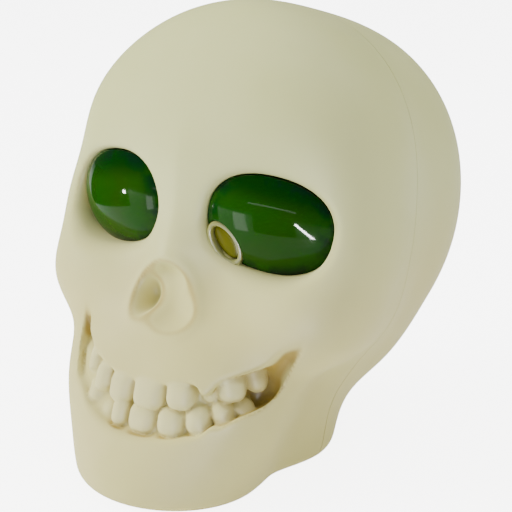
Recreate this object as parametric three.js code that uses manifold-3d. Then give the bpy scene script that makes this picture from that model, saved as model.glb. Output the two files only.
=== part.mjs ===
// Light-up skull ornament: two moulded shells, two domed eye lenses with light cups,
// and a flat base plate that carries the cells, the switch and the lamp board.
// Millimetres, up is +Z, the face looks towards -Y, the skull's own left is +X.
import * as THREE from "three";
import { mergeVertices } from "three/addons/utils/BufferGeometryUtils.js";
import Module from "manifold-3d";

const wasm = await Module();
wasm.setup();
const { Manifold, Mesh: SolidMesh } = wasm;

// Walls, fits and what every cut shares
const wall = 2.3;
const pit_wall = 3.6;
const fit = 0.3;
const half_fit = fit / 2;
const overrun = 1;
const far = 200;
const weld = 1e-4;
const surface_error = 0.01;
const step_share = 0.8;
const round_power = 4;

// Overall size of the skull that every share of the form below follows
const skull = { half_wide: 60, half_long: 75, high: 143 };

// Cranium and face masses: centre, half sizes and the blend that joins each to the rest
const head_lean_angle = 8;
const vault = { at_shares: [0, 0.347, 0.545], half_shares: [0.933, 0.673, 0.4125] };
const brow_mass = { at_shares: [0, -0.107, 0.675], half_shares: [0.883, 0.5, 0.3285], blend: 24 };
const face_mass = { at_shares: [0, -0.1, 0.521], half_shares: [0.867, 0.38, 0.3215], blend: 24 };
const cheek_mass = { at_shares: [0.625, -0.333, 0.402], half_shares: [0.342, 0.287, 0.129], blend: 20 };
const muzzle_mass = { at_shares: [0, -0.493, 0.248], half_shares: [0.575, 0.387, 0.192], blend: 20 };
const chin_mass = { at_shares: [0, -0.627, 0.0665], half_shares: [0.508, 0.367, 0.213], blend: 20 };
const jaw_body = {
  from_shares: [0.167, -0.547, 0.052], to_shares: [0.242, -0.127, 0.038], thick: [16.5, 14], blend: 14,
};
const jaw_branch = {
  from_shares: [0.242, -0.127, 0.038], to_shares: [0.442, 0.007, 0.329], thick: [14, 19.5], blend: 16,
};
const neck_rod = {
  from_shares: [0, -0.127, 0.0245], to_shares: [0, 0.147, 0.329], thick: [24.5, 26.5], blend: 14,
};
const nose_bridge = {
  from_shares: [0, -0.52, 0.507], to_shares: [0, -0.573, 0.409], thick: [7, 7], blend: 18,
};
const midline_soft = 1;

// Gentle swellings and hollows of the surface: place, reach and height
const swellings = [
  { name: "jaw corner", at_shares: [0.542, -0.64, 0.192], reach: 12, height: 3.3 },
  { name: "neck side", at_shares: [0.508, 0.333, 0.192], reach: 12, height: 3 },
  { name: "mouth side", at_shares: [0.717, -0.287, 0.262], reach: 10, height: -2.3 },
  { name: "temple", at_shares: [0.85, -0.233, 0.748], reach: 16, height: 1.7 },
  { name: "orbit rim", at_shares: [0.85, -0.287, 0.535], reach: 11, height: 4 },
  { name: "cheek arch", at_shares: [0.883, -0.287, 0.427], reach: 13, height: -1.2 },
  { name: "under cheek", at_shares: [0.783, -0.287, 0.318], reach: 11, height: 1.6 },
  { name: "low jaw", at_shares: [0.508, -0.533, 0.063], reach: 14, height: -1.4 },
  { name: "jaw angle", at_shares: [0.575, -0.047, 0.15], reach: 12, height: -2.7 },
  { name: "jaw branch", at_shares: [0.75, 0.007, 0.276], reach: 12, height: -3 },
  { name: "lip", at_shares: [0, -0.833, 0.22], reach: 16, height: -6 },
  { name: "upper jaw", at_shares: [0, -0.7, 0.392], reach: 14, height: -3.6 },
  { name: "nose root", at_shares: [0, -0.587, 0.563], reach: 14, height: -1.2 },
  { name: "orbit", at_shares: [0.458, -0.533, 0.591], reach: 16, height: -7 },
  { name: "back", at_shares: [0, 0.987, 0.556], reach: 30, height: 3.3 },
  { name: "forehead", at_shares: [0, -0.533, 0.79], reach: 24.5, height: -5 },
  { name: "side of the back", at_shares: [0.883, 0.28, 0.591], reach: 26.5, height: -4.2 },
  { name: "nape", at_shares: [0, 0.553, 0.2], reach: 22.5, height: 1.3 },
  { name: "crown", at_shares: [0, 0.62, 0.878], reach: 28.5, height: -2.4 },
  { name: "low back", at_shares: [0, 0.893, 0.343], reach: 22.5, height: -3.7 },
];

// Underside
const bottom_round = 5;
const floor_wall = 2.4;
const floor_dip = 1.2;

// Eye openings, measured along each eye's own axis
const eye = {
  at_shares: [0.4835, -0.4735, 0.5825], turn_angle: 14, tilt_angle: 9,
  half_wide: 20, half_high: 14.6, power: 2.25, side_count: 24, pit_depth: 9, rim_round: 3.5,
};

// Nose opening
const nose_lobe = { at_shares: [0.09, -0.713, 0.4055], half_shares: [0.11, 0.12, 0.05] };
const nose_top = { at_shares: [0.043, -0.68, 0.451], half_shares: [0.123, 0.107, 0.049] };
const nose_blend = 5;
const nose_round = 3;

// Band of the open mouth
const mouth = {
  low_share: 0.152, high_share: 0.256, corner_share: 0.567, back_share: -0.547,
  right_side_ratio: 1.5, right_back_share: -0.653,
  low_rise: 7.2, high_rise: 6.4, corner_rise: 10.9, corner_run: 8, depth: 3, corner_depth: 4.5, round: 2,
};

// Curve that the teeth stand on
const arch = {
  back_share: -0.4, half_wide_share: 0.617, level_share: 0.238, reach_share: 0.44, power: 2.6,
  lean_share: 0.33, least_share: 0.02, walk: 0.25,
};

// Teeth: each row from the middle outwards
const tooth = {
  lean_angle: 18, thick: 7, sink: 2.5, side_gap: 0.2, count_round: 8, count_high: 6,
};
const upper_row = {
  level_share: 0.235, rise: 7.5, shift: -1, proud: 0.6,
  wide: [10.6, 10.4, 8.6, 7.4, 6.4], high: [10.4, 10.2, 8.6, 9.2, 8.4],
};
const lower_row = {
  level_share: 0.178, rise: 8.1, shift: -1.6, proud: 0.3,
  wide: [8.8, 8.6, 8.2, 7.2, 6], high: [9.6, 9.4, 8.4, 8, 7.4],
};
const short_tooth = { before_count: 2, sink: 1.4 };
const right_side_count = 3;

// Plane where the two shells meet
const split = { y_share: 0.027, z_share: 0.42, lean_angle: 12 };

// Sampling of the moulded surfaces
const skin_plan = {
  front_half_angle: 62, front_step_angle: 5, back_step_angle: 16,
  low_share: 0.098, face_share: 0.503, high_share: 0.713, mouth_step: 3.6, face_step: 3.6,
  dome_count: 6, bowl_count: 4, bowl_power: 1.9, axis_low_share: -0.107, axis_high_share: 0.08,
};
const hollow_plan = {
  ...skin_plan, front_step_angle: 14, back_step_angle: 22, mouth_step: 11, face_step: 14, dome_count: 3,
};
const march_limit = 60;

// Screws: head, shank and length under the head
const shell_screw = { head: 2.8, head_high: 2, shank: 1.4, length: 15 };
const plate_screw = { head: 2.4, head_high: 1.4, shank: 1.2, length: 8 };
const eye_screw = { head: 2.4, head_high: 1.6, shank: 1.2, length: 9 };
const board_screw = { head: 2.3, head_high: 1.2, shank: 1.1, length: 4.4 };
const screw_side_count = 8;
const boss_side_count = 14;
const head_taper_share = 0.7;
const slot_wide_share = 0.28;
const slot_deep_share = 0.5;
const thread_gap = 0.3;
const screw_end_gap = 1;

// Shell screws: their direction from the middle of the seam, and their bosses
const shell_screw_sites = [
  { name: "shell_screw_lower_left", angle: -44 },
  { name: "shell_screw_lower_right", angle: -136 },
  { name: "shell_screw_crown", angle: 90 },
];
const shell_boss = { wall: 2.5, reach: 14, seat: 7, inset: 5, head_gap: 0.5, rib_half: 1 };

// Eye lens, light cup and lamp
const lens = {
  sink: 7.5, spread: 2.7, bulge: 9.5, thick: 1.6, side_gap: 0.35, skirt_wide: 2,
  flange_wide: 2, flange_thick: 1.6, sphere_count: 24,
};
const collar_thick = 4.2;
const ear = { out: 4.8, radius: 3.4, side_count: 12 };
const cup = { flange_thick: 1.5, wall: 1.3, deep: 17, neck_wall: 1.1, neck_long: 5, bite: 0.5 };
const lamp = { radius: 2.5, rim: 3, rim_thick: 1, length: 8.4, gap: 0.3, side_count: 12 };

// Oval post in the lower inner corner of the left eye, and its window
const post = {
  at_shares: [-0.58, -0.63], turn_angle: 135, half: [7.2, 4.4], band: 1.9, top: -0.6, floor: -5.4,
  window_thick: 1.6, side_count: 16,
};

// Cells and their contacts
const cell = {
  radius: 5.2, length: 44.5, rim: 0.4, end_step: 0.3, end_share: 0.6, nub_radius: 1.9, nub_long: 1,
  between: 0.5, side_count: 16,
};
const contact = { thick: 0.5, above_axis: 3.9, edge: 0.95, tab_gap: 0.5 };
const spring = {
  wire: 0.35, long: 3.3, wide: 3.2, tip: 1.7, turn_count: 3, step_count: 26, side_count: 4,
};

// Bay that holds them in the base plate
const bay = { x: -7.5, y: -25.5, wall: 1.5, side_gap: 0.65, roof_gap: 0.5, floor_gap: 0.6 };

// Base plate
const plate = {
  low: 0.4, thick: 2, corner: 11, corner_count: 5, left_strip: 1.2, right_strip: 16.2,
  screw_inset: 4.1, side_screw_inset: 18, collar_high: 8, collar_wall: 2,
};
const plate_boss = { wall: 2, high: 9, web_half: 2, seam_gap: 0.6, front_gap: 0.4, back_gap: 1.4 };

// Battery door
const door = {
  thick: 1.5, gap: 0.5, pin: 0.7, pin_gap: 0.5, pin_long: 1.1, tab_half: 4, tab_gap: 0.1,
  tab_thick: 1.2, tab_high: 2.6, groove_deep: 0.5, groove_half: 1, groove_step: 4, groove_inset: 5,
  groove_count: 3,
};

// Slide switch
const slide = {
  wide: 6, long: 12, high: 5, travel: 3.6, knob_wide: 2.4, knob_long: 3.4, knob_sink: 0.4,
  foot_wide: 3.2, foot_long: 5, foot_high: 1.5, side_gap: 0.4, end_gap: 0.5, roof_gap: 0.6,
};

// Lamp board
const board = {
  half_wide: 9.5, half_long: 15, thick: 1.6, post_wall: 1.1, post_high: 3, screw_inset: 3.5, sunk: 0.6,
};
const chip = { half: 3, high: 1.6 };
const resistor = { half_wide: 1, half_long: 2, high: 1, out: 6 };

// Wires
const wire = { radius: 0.7, side_count: 5, hole_gap: 0.6, step_count: 13 };
const lamp_wire = { apart: 1.3, tail: 6, nearest: 4, pitch: 2.2, forward: 6, bow: 4, rise: 9, drift: 1 };
const battery_wire = { out: 1.4, bow: 1.9, rise: 1, back: 2, over: 2.6, inset: 2 };
const switch_wire = { apart: 3, rise: 8, over: 4, inset: 1.5 };

const radians = THREE.MathUtils.degToRad;
const lerp = THREE.MathUtils.lerp;
const clamp = THREE.MathUtils.clamp;

// Shares of the skull's size as real places and sizes
function spotOf([x, y, z]) {
  return new THREE.Vector3(x * skull.half_wide, y * skull.half_long, z * skull.high);
}

function eggOf(mass, lean_angle = 0) {
  return { ...mass, at: spotOf(mass.at_shares), half: spotOf(mass.half_shares), lean: radians(lean_angle) };
}

function rodOf(mass) {
  return { ...mass, from: spotOf(mass.from_shares), to: spotOf(mass.to_shares) };
}

const bones = {
  vault: eggOf(vault, head_lean_angle),
  brow: eggOf(brow_mass, head_lean_angle),
  face: eggOf(face_mass),
  cheek: eggOf(cheek_mass),
  muzzle: eggOf(muzzle_mass, head_lean_angle),
  chin: eggOf(chin_mass, head_lean_angle),
  jaw_body: rodOf(jaw_body),
  jaw_branch: rodOf(jaw_branch),
  neck: rodOf(neck_rod),
  bridge: rodOf(nose_bridge),
  swellings: swellings.map((swelling) => ({ ...swelling, at: spotOf(swelling.at_shares) })),
};
const nose = { lobe: eggOf(nose_lobe), top: eggOf(nose_top) };

// Rounds the meeting of two signed distances
function softMin(a, b, blend) {
  const h = Math.max(blend - Math.abs(a - b), 0) / blend;
  return Math.min(a, b) - (h * h * blend) / 4;
}

function softMax(a, b, blend) {
  return -softMin(-a, -b, blend);
}

// Signed distance of an egg, leaned back about the X direction
function eggDistance(p, egg) {
  const c = Math.cos(egg.lean);
  const s = Math.sin(egg.lean);
  const dy = p.y - egg.at.y;
  const dz = p.z - egg.at.z;
  const x = (p.x - egg.at.x) / egg.half.x;
  const y = (dy * c - dz * s) / egg.half.y;
  const z = (dy * s + dz * c) / egg.half.z;
  const near = Math.hypot(x, y, z) + Number.EPSILON;
  const slope = Math.hypot(x / egg.half.x, y / egg.half.y, z / egg.half.z);
  return (near * (near - 1)) / (slope + Number.EPSILON);
}

// Signed distance of a round rod that changes thickness along its length
function rodDistance(p, rod) {
  const along = rod.to.clone().sub(rod.from);
  const q = p.clone().sub(rod.from);
  const t = clamp(q.dot(along) / along.lengthSq(), 0, 1);
  return q.addScaledVector(along, -t).length() - lerp(...rod.thick, t);
}

// The bare skull form with no openings; both sides mirror each other
function boneDistance(point) {
  const p = new THREE.Vector3(Math.hypot(point.x, midline_soft), point.y, point.z);
  let face = eggDistance(p, bones.face);
  face = softMin(face, eggDistance(p, bones.cheek), cheek_mass.blend);
  face = softMin(face, eggDistance(p, bones.muzzle), muzzle_mass.blend);
  let jaw = eggDistance(p, bones.chin);
  jaw = softMin(jaw, rodDistance(p, bones.jaw_body), jaw_body.blend);
  jaw = softMin(jaw, rodDistance(p, bones.jaw_branch), jaw_branch.blend);
  jaw = softMin(jaw, rodDistance(p, bones.neck), neck_rod.blend);
  let d = softMin(eggDistance(p, bones.vault), eggDistance(p, bones.brow), brow_mass.blend);
  d = softMin(d, face, face_mass.blend);
  d = softMin(d, jaw, chin_mass.blend);
  d = softMin(d, rodDistance(p, bones.bridge), nose_bridge.blend);
  for (const swelling of bones.swellings) {
    const away = p.distanceToSquared(swelling.at);
    d -= swelling.height * Math.exp(-away / (2 * swelling.reach * swelling.reach));
  }
  return d;
}

// From the left eye's own axes, across, up and outwards, to the skull's
function eyeMatrix() {
  const turn = new THREE.Matrix4().makeRotationZ(radians(eye.turn_angle));
  const stand = new THREE.Matrix4().makeRotationX(Math.PI / 2);
  const tilt = new THREE.Matrix4().makeRotationZ(-radians(eye.tilt_angle));
  const place = new THREE.Matrix4().setPosition(spotOf(eye.at_shares));
  return place.multiply(turn).multiply(stand).multiply(tilt);
}

const local_to_eye = eyeMatrix();
const eye_to_local = local_to_eye.clone().invert();

// Signed distance of a squared ellipse
function ovalDistance(u, v, a, b, power) {
  const f = (Math.abs(u / a) ** power + Math.abs(v / b) ** power) ** (1 / power);
  return ((f - 1) * Math.hypot(u, v)) / Math.max(f, Number.EPSILON);
}

function eyePitDistance(p) {
  const q = p.clone().applyMatrix4(eye_to_local);
  const oval = ovalDistance(q.x, q.y, eye.half_wide, eye.half_high, eye.power);
  return Math.max(oval, -(q.z + eye.pit_depth));
}

function nosePitDistance(p) {
  return softMin(eggDistance(p, nose.lobe), eggDistance(p, nose.top), nose_blend);
}

// The band of the open mouth, deeper and higher at its corners
function mouthPitDistance(p, bone) {
  const corner = mouth.corner_share * skull.half_wide;
  const x = p.x > 0 ? p.x : -mouth.right_side_ratio * p.x;
  const beyond = Math.max(x - corner, 0) / mouth.corner_run;
  const out = (x / corner) ** 2;
  const low = mouth.low_share * skull.high + mouth.low_rise * out + mouth.corner_rise * beyond * beyond;
  const high = mouth.high_share * skull.high + mouth.high_rise * out;
  const depth = mouth.depth + mouth.corner_depth * clamp(beyond, 0, 1);
  let pit = softMax(low - p.z, p.z - high, mouth.round);
  pit = softMax(pit, -(bone + depth), mouth.round);
  const back_share = p.x > 0 ? mouth.back_share : mouth.right_back_share;
  return softMax(pit, p.y - back_share * skull.half_long, mouth.round);
}

function skinDistance(p) {
  const q = new THREE.Vector3(Math.abs(p.x), p.y, p.z);
  const bone = boneDistance(p);
  let d = softMax(bone, -eyePitDistance(q), eye.rim_round);
  d = softMax(d, -nosePitDistance(q), nose_round);
  d = softMax(d, -mouthPitDistance(p, bone), mouth.round);
  return softMax(d, -floor_dip - p.z, bottom_round);
}

// The hollow keeps a wall away from the skin, and a thicker one from its nose and mouth
function hollowDistance(p) {
  const q = new THREE.Vector3(Math.abs(p.x), p.y, p.z);
  const bone = boneDistance(p);
  let d = softMax(bone + wall, pit_wall - nosePitDistance(q), nose_round);
  d = softMax(d, pit_wall - mouthPitDistance(p, bone), mouth.round);
  return softMax(d, floor_wall - p.z, bottom_round);
}

// Where a ray meets the surface, found from outside inwards
function rayMeeting(distance, from, direction) {
  let reach = far / 2;
  const at = new THREE.Vector3();
  for (let i = 0; i < march_limit; i += 1) {
    const gap = distance(at.copy(from).addScaledVector(direction, reach));
    reach -= gap * step_share;
    if (Math.abs(gap) < surface_error) break;
  }
  return from.clone().addScaledVector(direction, Math.max(reach, wall));
}

function spread(start, end, step) {
  const count = Math.max(1, Math.round((end - start) / step));
  return Array.from({ length: count }, (_, i) => lerp(start, end, i / count));
}

// Ring angles: close together over the face, wide apart round the back
function ringAngles(plan) {
  const edge = plan.front_half_angle;
  const front = spread(-edge, edge, plan.front_step_angle);
  const back = spread(edge, 360 - edge, plan.back_step_angle);
  return [...front, ...back].map((angle) => radians(angle - 90));
}

// Ray starts and slopes from the underside up to the crown
function rayRows(plan) {
  const low = plan.low_share * skull.high;
  const face = plan.face_share * skull.high;
  const high = plan.high_share * skull.high;
  const bowl = Array.from({ length: plan.bowl_count }, (_, i) => {
    const share = 1 - (i + 1) / (plan.bowl_count + 1);
    return { z: low, slope: -(Math.PI / 2) * share ** plan.bowl_power };
  });
  const middle = [...spread(low, face, plan.mouth_step), ...spread(face, high, plan.face_step)];
  const dome = Array.from({ length: plan.dome_count }, (_, i) => {
    return { z: high, slope: ((Math.PI / 2) * i) / plan.dome_count };
  });
  return [...bowl, ...middle.map((z) => ({ z, slope: 0 })), ...dome].map((row) => {
    const share = lerp(plan.axis_low_share, plan.axis_high_share, (row.z - low) / (high - low));
    return { ...row, y: share * skull.half_long };
  });
}

// A closed surface sampled on rings of rays, with one point at each end
function sampledSolid(distance, plan) {
  const angles = ringAngles(plan);
  const levels = rayRows(plan);
  const points = levels.flatMap((level) => angles.map((angle) => {
    const flat = Math.cos(level.slope);
    const way = new THREE.Vector3(
      Math.cos(angle) * flat, Math.sin(angle) * flat, Math.sin(level.slope),
    );
    return rayMeeting(distance, new THREE.Vector3(0, level.y, level.z), way);
  }));
  const first = new THREE.Vector3(0, levels[0].y, levels[0].z);
  const last = new THREE.Vector3(0, levels.at(-1).y, levels.at(-1).z);
  const bottom = points.push(rayMeeting(distance, first, new THREE.Vector3(0, 0, -1))) - 1;
  const top = points.push(rayMeeting(distance, last, new THREE.Vector3(0, 0, 1))) - 1;
  const geometry = new THREE.BufferGeometry().setFromPoints(points);
  geometry.setIndex(ringFaces(points, angles.length, levels.length, bottom, top));
  return solid(geometry);
}

// Faces between rings, each four points split along their shorter diagonal
function ringFaces(points, count, ring_count, bottom, top) {
  const faces = [];
  for (let j = 0; j + 1 < ring_count; j += 1) {
    for (let i = 0; i < count; i += 1) {
      const a = j * count + i;
      const b = j * count + ((i + 1) % count);
      const c = a + count;
      const d = b + count;
      if (points[a].distanceTo(points[d]) < points[b].distanceTo(points[c])) {
        faces.push(a, b, d, a, d, c);
      } else {
        faces.push(a, b, c, b, d, c);
      }
    }
  }
  const last = (ring_count - 1) * count;
  for (let i = 0; i < count; i += 1) {
    const next = (i + 1) % count;
    faces.push(bottom, next, i, top, last + i, last + next);
  }
  return faces;
}

// Turns a closed geometry into a solid for cutting and joining
function solid(geometry) {
  const bare = geometry.clone();
  bare.deleteAttribute("normal");
  bare.deleteAttribute("uv");
  const merged = mergeVertices(bare, weld);
  return new Manifold(new SolidMesh({
    numProp: 3,
    vertProperties: new Float32Array(merged.attributes.position.array),
    triVerts: new Uint32Array(merged.index.array),
  }));
}

function geometryOf(body) {
  const mesh = body.getMesh();
  const geometry = new THREE.BufferGeometry();
  geometry.setAttribute("position", new THREE.BufferAttribute(new Float32Array(mesh.vertProperties), 3));
  geometry.setIndex(new THREE.BufferAttribute(new Uint32Array(mesh.triVerts), 1));
  return geometry;
}

function moved(body, matrix) {
  const geometry = geometryOf(body);
  geometry.applyMatrix4(matrix);
  return solid(geometry);
}

// A box between two corners
function block(x0, x1, y0, y1, z0, z1) {
  const geometry = new THREE.BoxGeometry(x1 - x0, y1 - y0, z1 - z0);
  geometry.translate((x0 + x1) / 2, (y0 + y1) / 2, (z0 + z1) / 2);
  return solid(geometry);
}

// A box with its middle at a place in plan, between two heights
function slab(x, y, wide, long, low, high) {
  return block(x - wide / 2, x + wide / 2, y - long / 2, y + long / 2, low, high);
}

function prism(outline, low, high) {
  const geometry = new THREE.ExtrudeGeometry(new THREE.Shape(outline), {
    depth: high - low, bevelEnabled: false, steps: 1,
  });
  geometry.translate(0, 0, low);
  return solid(geometry);
}

function circle(x, y, radius, side_count) {
  return Array.from({ length: side_count }, (_, i) => {
    const angle = (2 * Math.PI * i) / side_count;
    return new THREE.Vector2(x + radius * Math.cos(angle), y + radius * Math.sin(angle));
  });
}

// Round bars along each direction
function barZ(x, y, radius, low, high, side_count) {
  return prism(circle(x, y, radius, side_count), low, high);
}

function barY(x, z, radius, y0, y1, side_count) {
  const geometry = new THREE.CylinderGeometry(radius, radius, y1 - y0, side_count);
  geometry.translate(x, (y0 + y1) / 2, z);
  return solid(geometry);
}

function barX(y, z, radius, x0, x1, side_count) {
  const geometry = new THREE.CylinderGeometry(radius, radius, x1 - x0, side_count);
  geometry.rotateZ(-Math.PI / 2);
  geometry.translate((x0 + x1) / 2, y, z);
  return solid(geometry);
}

// A round body about Z from its outline of radius and height
function turned(profile, side_count) {
  const outline = profile.map(([radius, z]) => new THREE.Vector2(radius, z));
  const geometry = new THREE.LatheGeometry(outline, side_count);
  geometry.rotateX(Math.PI / 2);
  return solid(geometry);
}

// The eye's outline, grown or drawn in all round
function eyeOutline(grow) {
  return circle(0, 0, 1, eye.side_count).map((way) => {
    const size = (Math.abs(way.x) ** eye.power + Math.abs(way.y) ** eye.power) ** (-1 / eye.power);
    return new THREE.Vector2(
      (eye.half_wide + grow) * size * way.x, (eye.half_high + grow) * size * way.y,
    );
  });
}

function postOutline(grow) {
  const middle = new THREE.Vector2(post.at_shares[0] * eye.half_wide, post.at_shares[1] * eye.half_high);
  return circle(0, 0, 1, post.side_count).map((way) => {
    const spot = new THREE.Vector2(way.x * (post.half[0] + grow), way.y * (post.half[1] + grow));
    return spot.rotateAround(new THREE.Vector2(), radians(post.turn_angle)).add(middle);
  });
}

// Moves a body from the left eye's axes to the skull, or mirrors it to the right eye
function atEye(body, side) {
  const geometry = geometryOf(body);
  geometry.applyMatrix4(local_to_eye);
  if (side < 0) {
    geometry.applyMatrix4(new THREE.Matrix4().makeScale(-1, 1, 1));
    const index = geometry.index.array;
    for (let i = 0; i < index.length; i += 3) {
      [index[i], index[i + 1]] = [index[i + 1], index[i]];
    }
  }
  return solid(geometry);
}

function atBothEyes(body) {
  return atEye(body, 1).add(atEye(body, -1));
}

// Where the seam crosses a given height
function seamY(z) {
  const rise = z - split.z_share * skull.high;
  return split.y_share * skull.half_long + rise * Math.tan(radians(split.lean_angle));
}

// The space in front of the seam, drawn back by a step
function frontSpace(step) {
  const geometry = new THREE.BoxGeometry(2 * far, 2 * far, 2 * far);
  geometry.translate(0, -far - step, 0);
  geometry.rotateX(-radians(split.lean_angle));
  geometry.translate(0, split.y_share * skull.half_long, split.z_share * skull.high);
  return solid(geometry);
}

// Teeth stand side by side along the arch, so each place is a walk from the middle
function archY(x, z) {
  const out = Math.abs(x) / (arch.half_wide_share * skull.half_wide);
  const share = Math.max(1 - out ** arch.power, arch.least_share);
  const lean = (z - arch.level_share * skull.high) * arch.lean_share;
  const reach = arch.reach_share * skull.half_long;
  return arch.back_share * skull.half_long + lean - reach * share ** (1 / arch.power);
}

function archX(walked, z) {
  let x = 0;
  for (let gone = 0; gone < walked; gone += arch.walk) {
    x += arch.walk / Math.hypot(1, (archY(x + arch.walk, z) - archY(x, z)) / arch.walk);
  }
  return x;
}

function roundedTooth(wide, high) {
  const half = [wide / 2 - tooth.side_gap / 2, tooth.thick / 2, high / 2];
  const geometry = new THREE.SphereGeometry(1, tooth.count_round, tooth.count_high);
  const spots = geometry.attributes.position;
  for (let i = 0; i < spots.count; i += 1) {
    const way = [spots.getX(i), spots.getY(i), spots.getZ(i)];
    const sum = way.reduce((total, value) => total + Math.abs(value) ** round_power, 0);
    const size = sum ** (-1 / round_power);
    spots.setXYZ(i, ...way.map((value, k) => value * size * half[k]));
  }
  return geometry;
}

function toothSolid(row, order, side) {
  const level_middle = row.level_share * skull.high;
  const inner = row.wide.slice(0, order).reduce((sum, wide) => sum + wide, 0);
  const x = side * archX(inner + row.wide[order] / 2, level_middle);
  const level = level_middle + row.rise * (x / (arch.half_wide_share * skull.half_wide)) ** 2;
  const back_step = archY(x + arch.walk, level) - archY(x - arch.walk, level);
  const across = new THREE.Vector2(2 * arch.walk, back_step);
  const is_short = row === upper_row && order === short_tooth.before_count && side > 0;
  const inward = tooth.sink + (is_short ? short_tooth.sink : -row.proud);
  const away = across.angle() + Math.PI / 2;
  const geometry = roundedTooth(row.wide[order], row.high[order]);
  geometry.rotateX(-radians(tooth.lean_angle));
  geometry.rotateZ(across.angle());
  geometry.translate(
    x + row.shift + inward * Math.cos(away), archY(x, level) + inward * Math.sin(away), level,
  );
  return solid(geometry);
}

function addTeeth(body) {
  let result = body;
  for (const row of [upper_row, lower_row]) {
    row.wide.forEach((_, order) => {
      result = result.add(toothSolid(row, order, 1));
      if (order < right_side_count) result = result.add(toothSolid(row, order, -1));
    });
  }
  return result;
}

// Both shells before they are parted
function fullShell() {
  const table = block(-far, far, -far, far, -far, 0);
  const outside = sampledSolid(skinDistance, skin_plan).subtract(table);
  const eye_space = outside.add(atEye(prism(eyeOutline(0), -eye.pit_depth, 0), 1));
  let shell = addTeeth(outside).subtract(sampledSolid(hollowDistance, hollow_plan));
  shell = shell.add(eyeCollars().intersect(outside)).subtract(eyeOpenings());
  shell = shell.add(keyedPost().intersect(eye_space)).subtract(windowPocket());
  for (const spot of screw_spots) {
    shell = shell.add(shellBoss(spot).intersect(outside)).subtract(shellBossHoles(spot));
  }
  return addPlateSeat(shell, outside).subtract(eyeEarHoles());
}

function eyeCollars() {
  let body = prism(eyeOutline(collar_thick), -eye.pit_depth, eye.pit_depth);
  for (const way of [-1, 1]) {
    body = body.add(barZ(0, way * earHeight(), ear.radius, -eye.pit_depth, eye.pit_depth, ear.side_count));
  }
  return atBothEyes(body);
}

function eyeOpenings() {
  return atBothEyes(prism(eyeOutline(0), -far / 4, eye.pit_depth));
}

function earHeight() {
  return eye.half_high + ear.out;
}

function eyeEarHoles() {
  const low = -eye.pit_depth - overrun;
  const high = -eye.pit_depth + eye_screw.length - cup.flange_thick - lens.flange_thick;
  let body = barZ(0, earHeight(), eye_screw.shank + thread_gap, low, high, screw_side_count);
  body = body.add(barZ(0, -earHeight(), eye_screw.shank + thread_gap, low, high, screw_side_count));
  return atBothEyes(body);
}

// The post closes the lower inner corner of the left eye and keys its lens
function keyedPost() {
  return atEye(prism(postOutline(0), -eye.pit_depth, post.top), 1);
}

function windowPocket() {
  return atEye(prism(postOutline(-post.band), post.floor, eye.pit_depth), 1);
}

// Shell screws stand where their direction from the middle of the seam nears the skin
function screwSpot(site) {
  const direction = new THREE.Vector3(Math.cos(radians(site.angle)), 0, Math.sin(radians(site.angle)));
  const z = split.z_share * skull.high;
  const skin = rayMeeting(seamSkinDistance, new THREE.Vector3(0, 0, z), direction);
  const inset = wall + shell_boss.inset;
  return {
    name: site.name, angle: site.angle, x: skin.x - inset * direction.x, z: skin.z - inset * direction.z,
  };
}

function seamSkinDistance(p) {
  return boneDistance(new THREE.Vector3(p.x, seamY(p.z), p.z));
}

const screw_spots = shell_screw_sites.map(screwSpot);

// A long boss along Y, tied to the skin by a rib on both sides of the seam
function shellBoss(spot) {
  const seam = seamY(spot.z);
  const radius = shell_screw.shank + thread_gap + shell_boss.wall;
  const rib = slab(0, 0, 2 * shell_boss.rib_half, 2 * shell_boss.reach, 0, shell_boss.inset + 2 * wall);
  const turn = new THREE.Matrix4().makeRotationY(radians(90 - spot.angle));
  const place = new THREE.Matrix4().makeTranslation(spot.x, seam, spot.z);
  return barY(spot.x, spot.z, radius, seam - shell_boss.reach, far / 2, boss_side_count)
    .add(moved(rib, place.multiply(turn)));
}

function shellBossHoles(spot) {
  const seat = seamY(spot.z) + shell_boss.seat;
  const end = seat - shell_screw.length - screw_end_gap;
  const head_hole = shell_screw.head + shell_boss.head_gap;
  const hole = barY(spot.x, spot.z, shell_screw.shank + thread_gap, end, seat + fit, boss_side_count);
  return hole.add(barY(spot.x, spot.z, head_hole, seat, far / 2, boss_side_count));
}

// Places along the base, worked out from the cells outwards
const cell_pitch = 2 * cell.radius + cell.between;
const cell_level = plate.low + door.thick + bay.floor_gap + cell.radius;
const end_room = contact.thick + 2 * fit;
const bay_half_wide = cell_pitch / 2 + cell.radius + bay.side_gap;
const bay_half_long = (cell.length + 2 * end_room + spring.long) / 2;
const bay_box = {
  x0: bay.x - bay_half_wide,
  x1: bay.x + bay_half_wide,
  y0: bay.y - bay_half_long,
  y1: bay.y + bay_half_long,
  ceiling: cell_level + cell.radius + bay.roof_gap,
};
const bay_roof = bay_box.ceiling + bay.wall;
const plate_top = plate.low + plate.thick;
const plate_hole = plate_screw.shank + thread_gap;
const boss_low = plate_top + fit;
const boss_radius = plate_hole + plate_boss.wall;
const boss_strip = bay.wall + boss_radius + plate.screw_inset;
const plate_box = {
  x0: bay_box.x0 - bay.wall - plate.left_strip,
  x1: bay_box.x1 + bay.wall + plate.right_strip,
  y0: bay_box.y0 - boss_strip - plate_boss.front_gap,
  y1: bay_box.y1 + boss_strip + plate_boss.back_gap,
};
const plate_sites = [
  { name: "base_screw_back", x: bay.x, y: plate_box.y1 - plate.screw_inset },
  { name: "base_screw_front", x: bay.x, y: plate_box.y0 + plate.screw_inset },
  {
    name: "base_screw_side_front",
    x: plate_box.x1 - plate.screw_inset, y: plate_box.y0 + plate.side_screw_inset,
  },
  {
    name: "base_screw_side_back",
    x: plate_box.x1 - plate.screw_inset,
    y: seamY(boss_low + plate_boss.high) + boss_radius + plate_boss.seam_gap,
  },
];
const switch_spot = { x: bay_box.x1 + bay.wall + plate.right_strip / 2, y: bay.y };
const board_low = bay_roof + board.post_high + fit;
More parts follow.
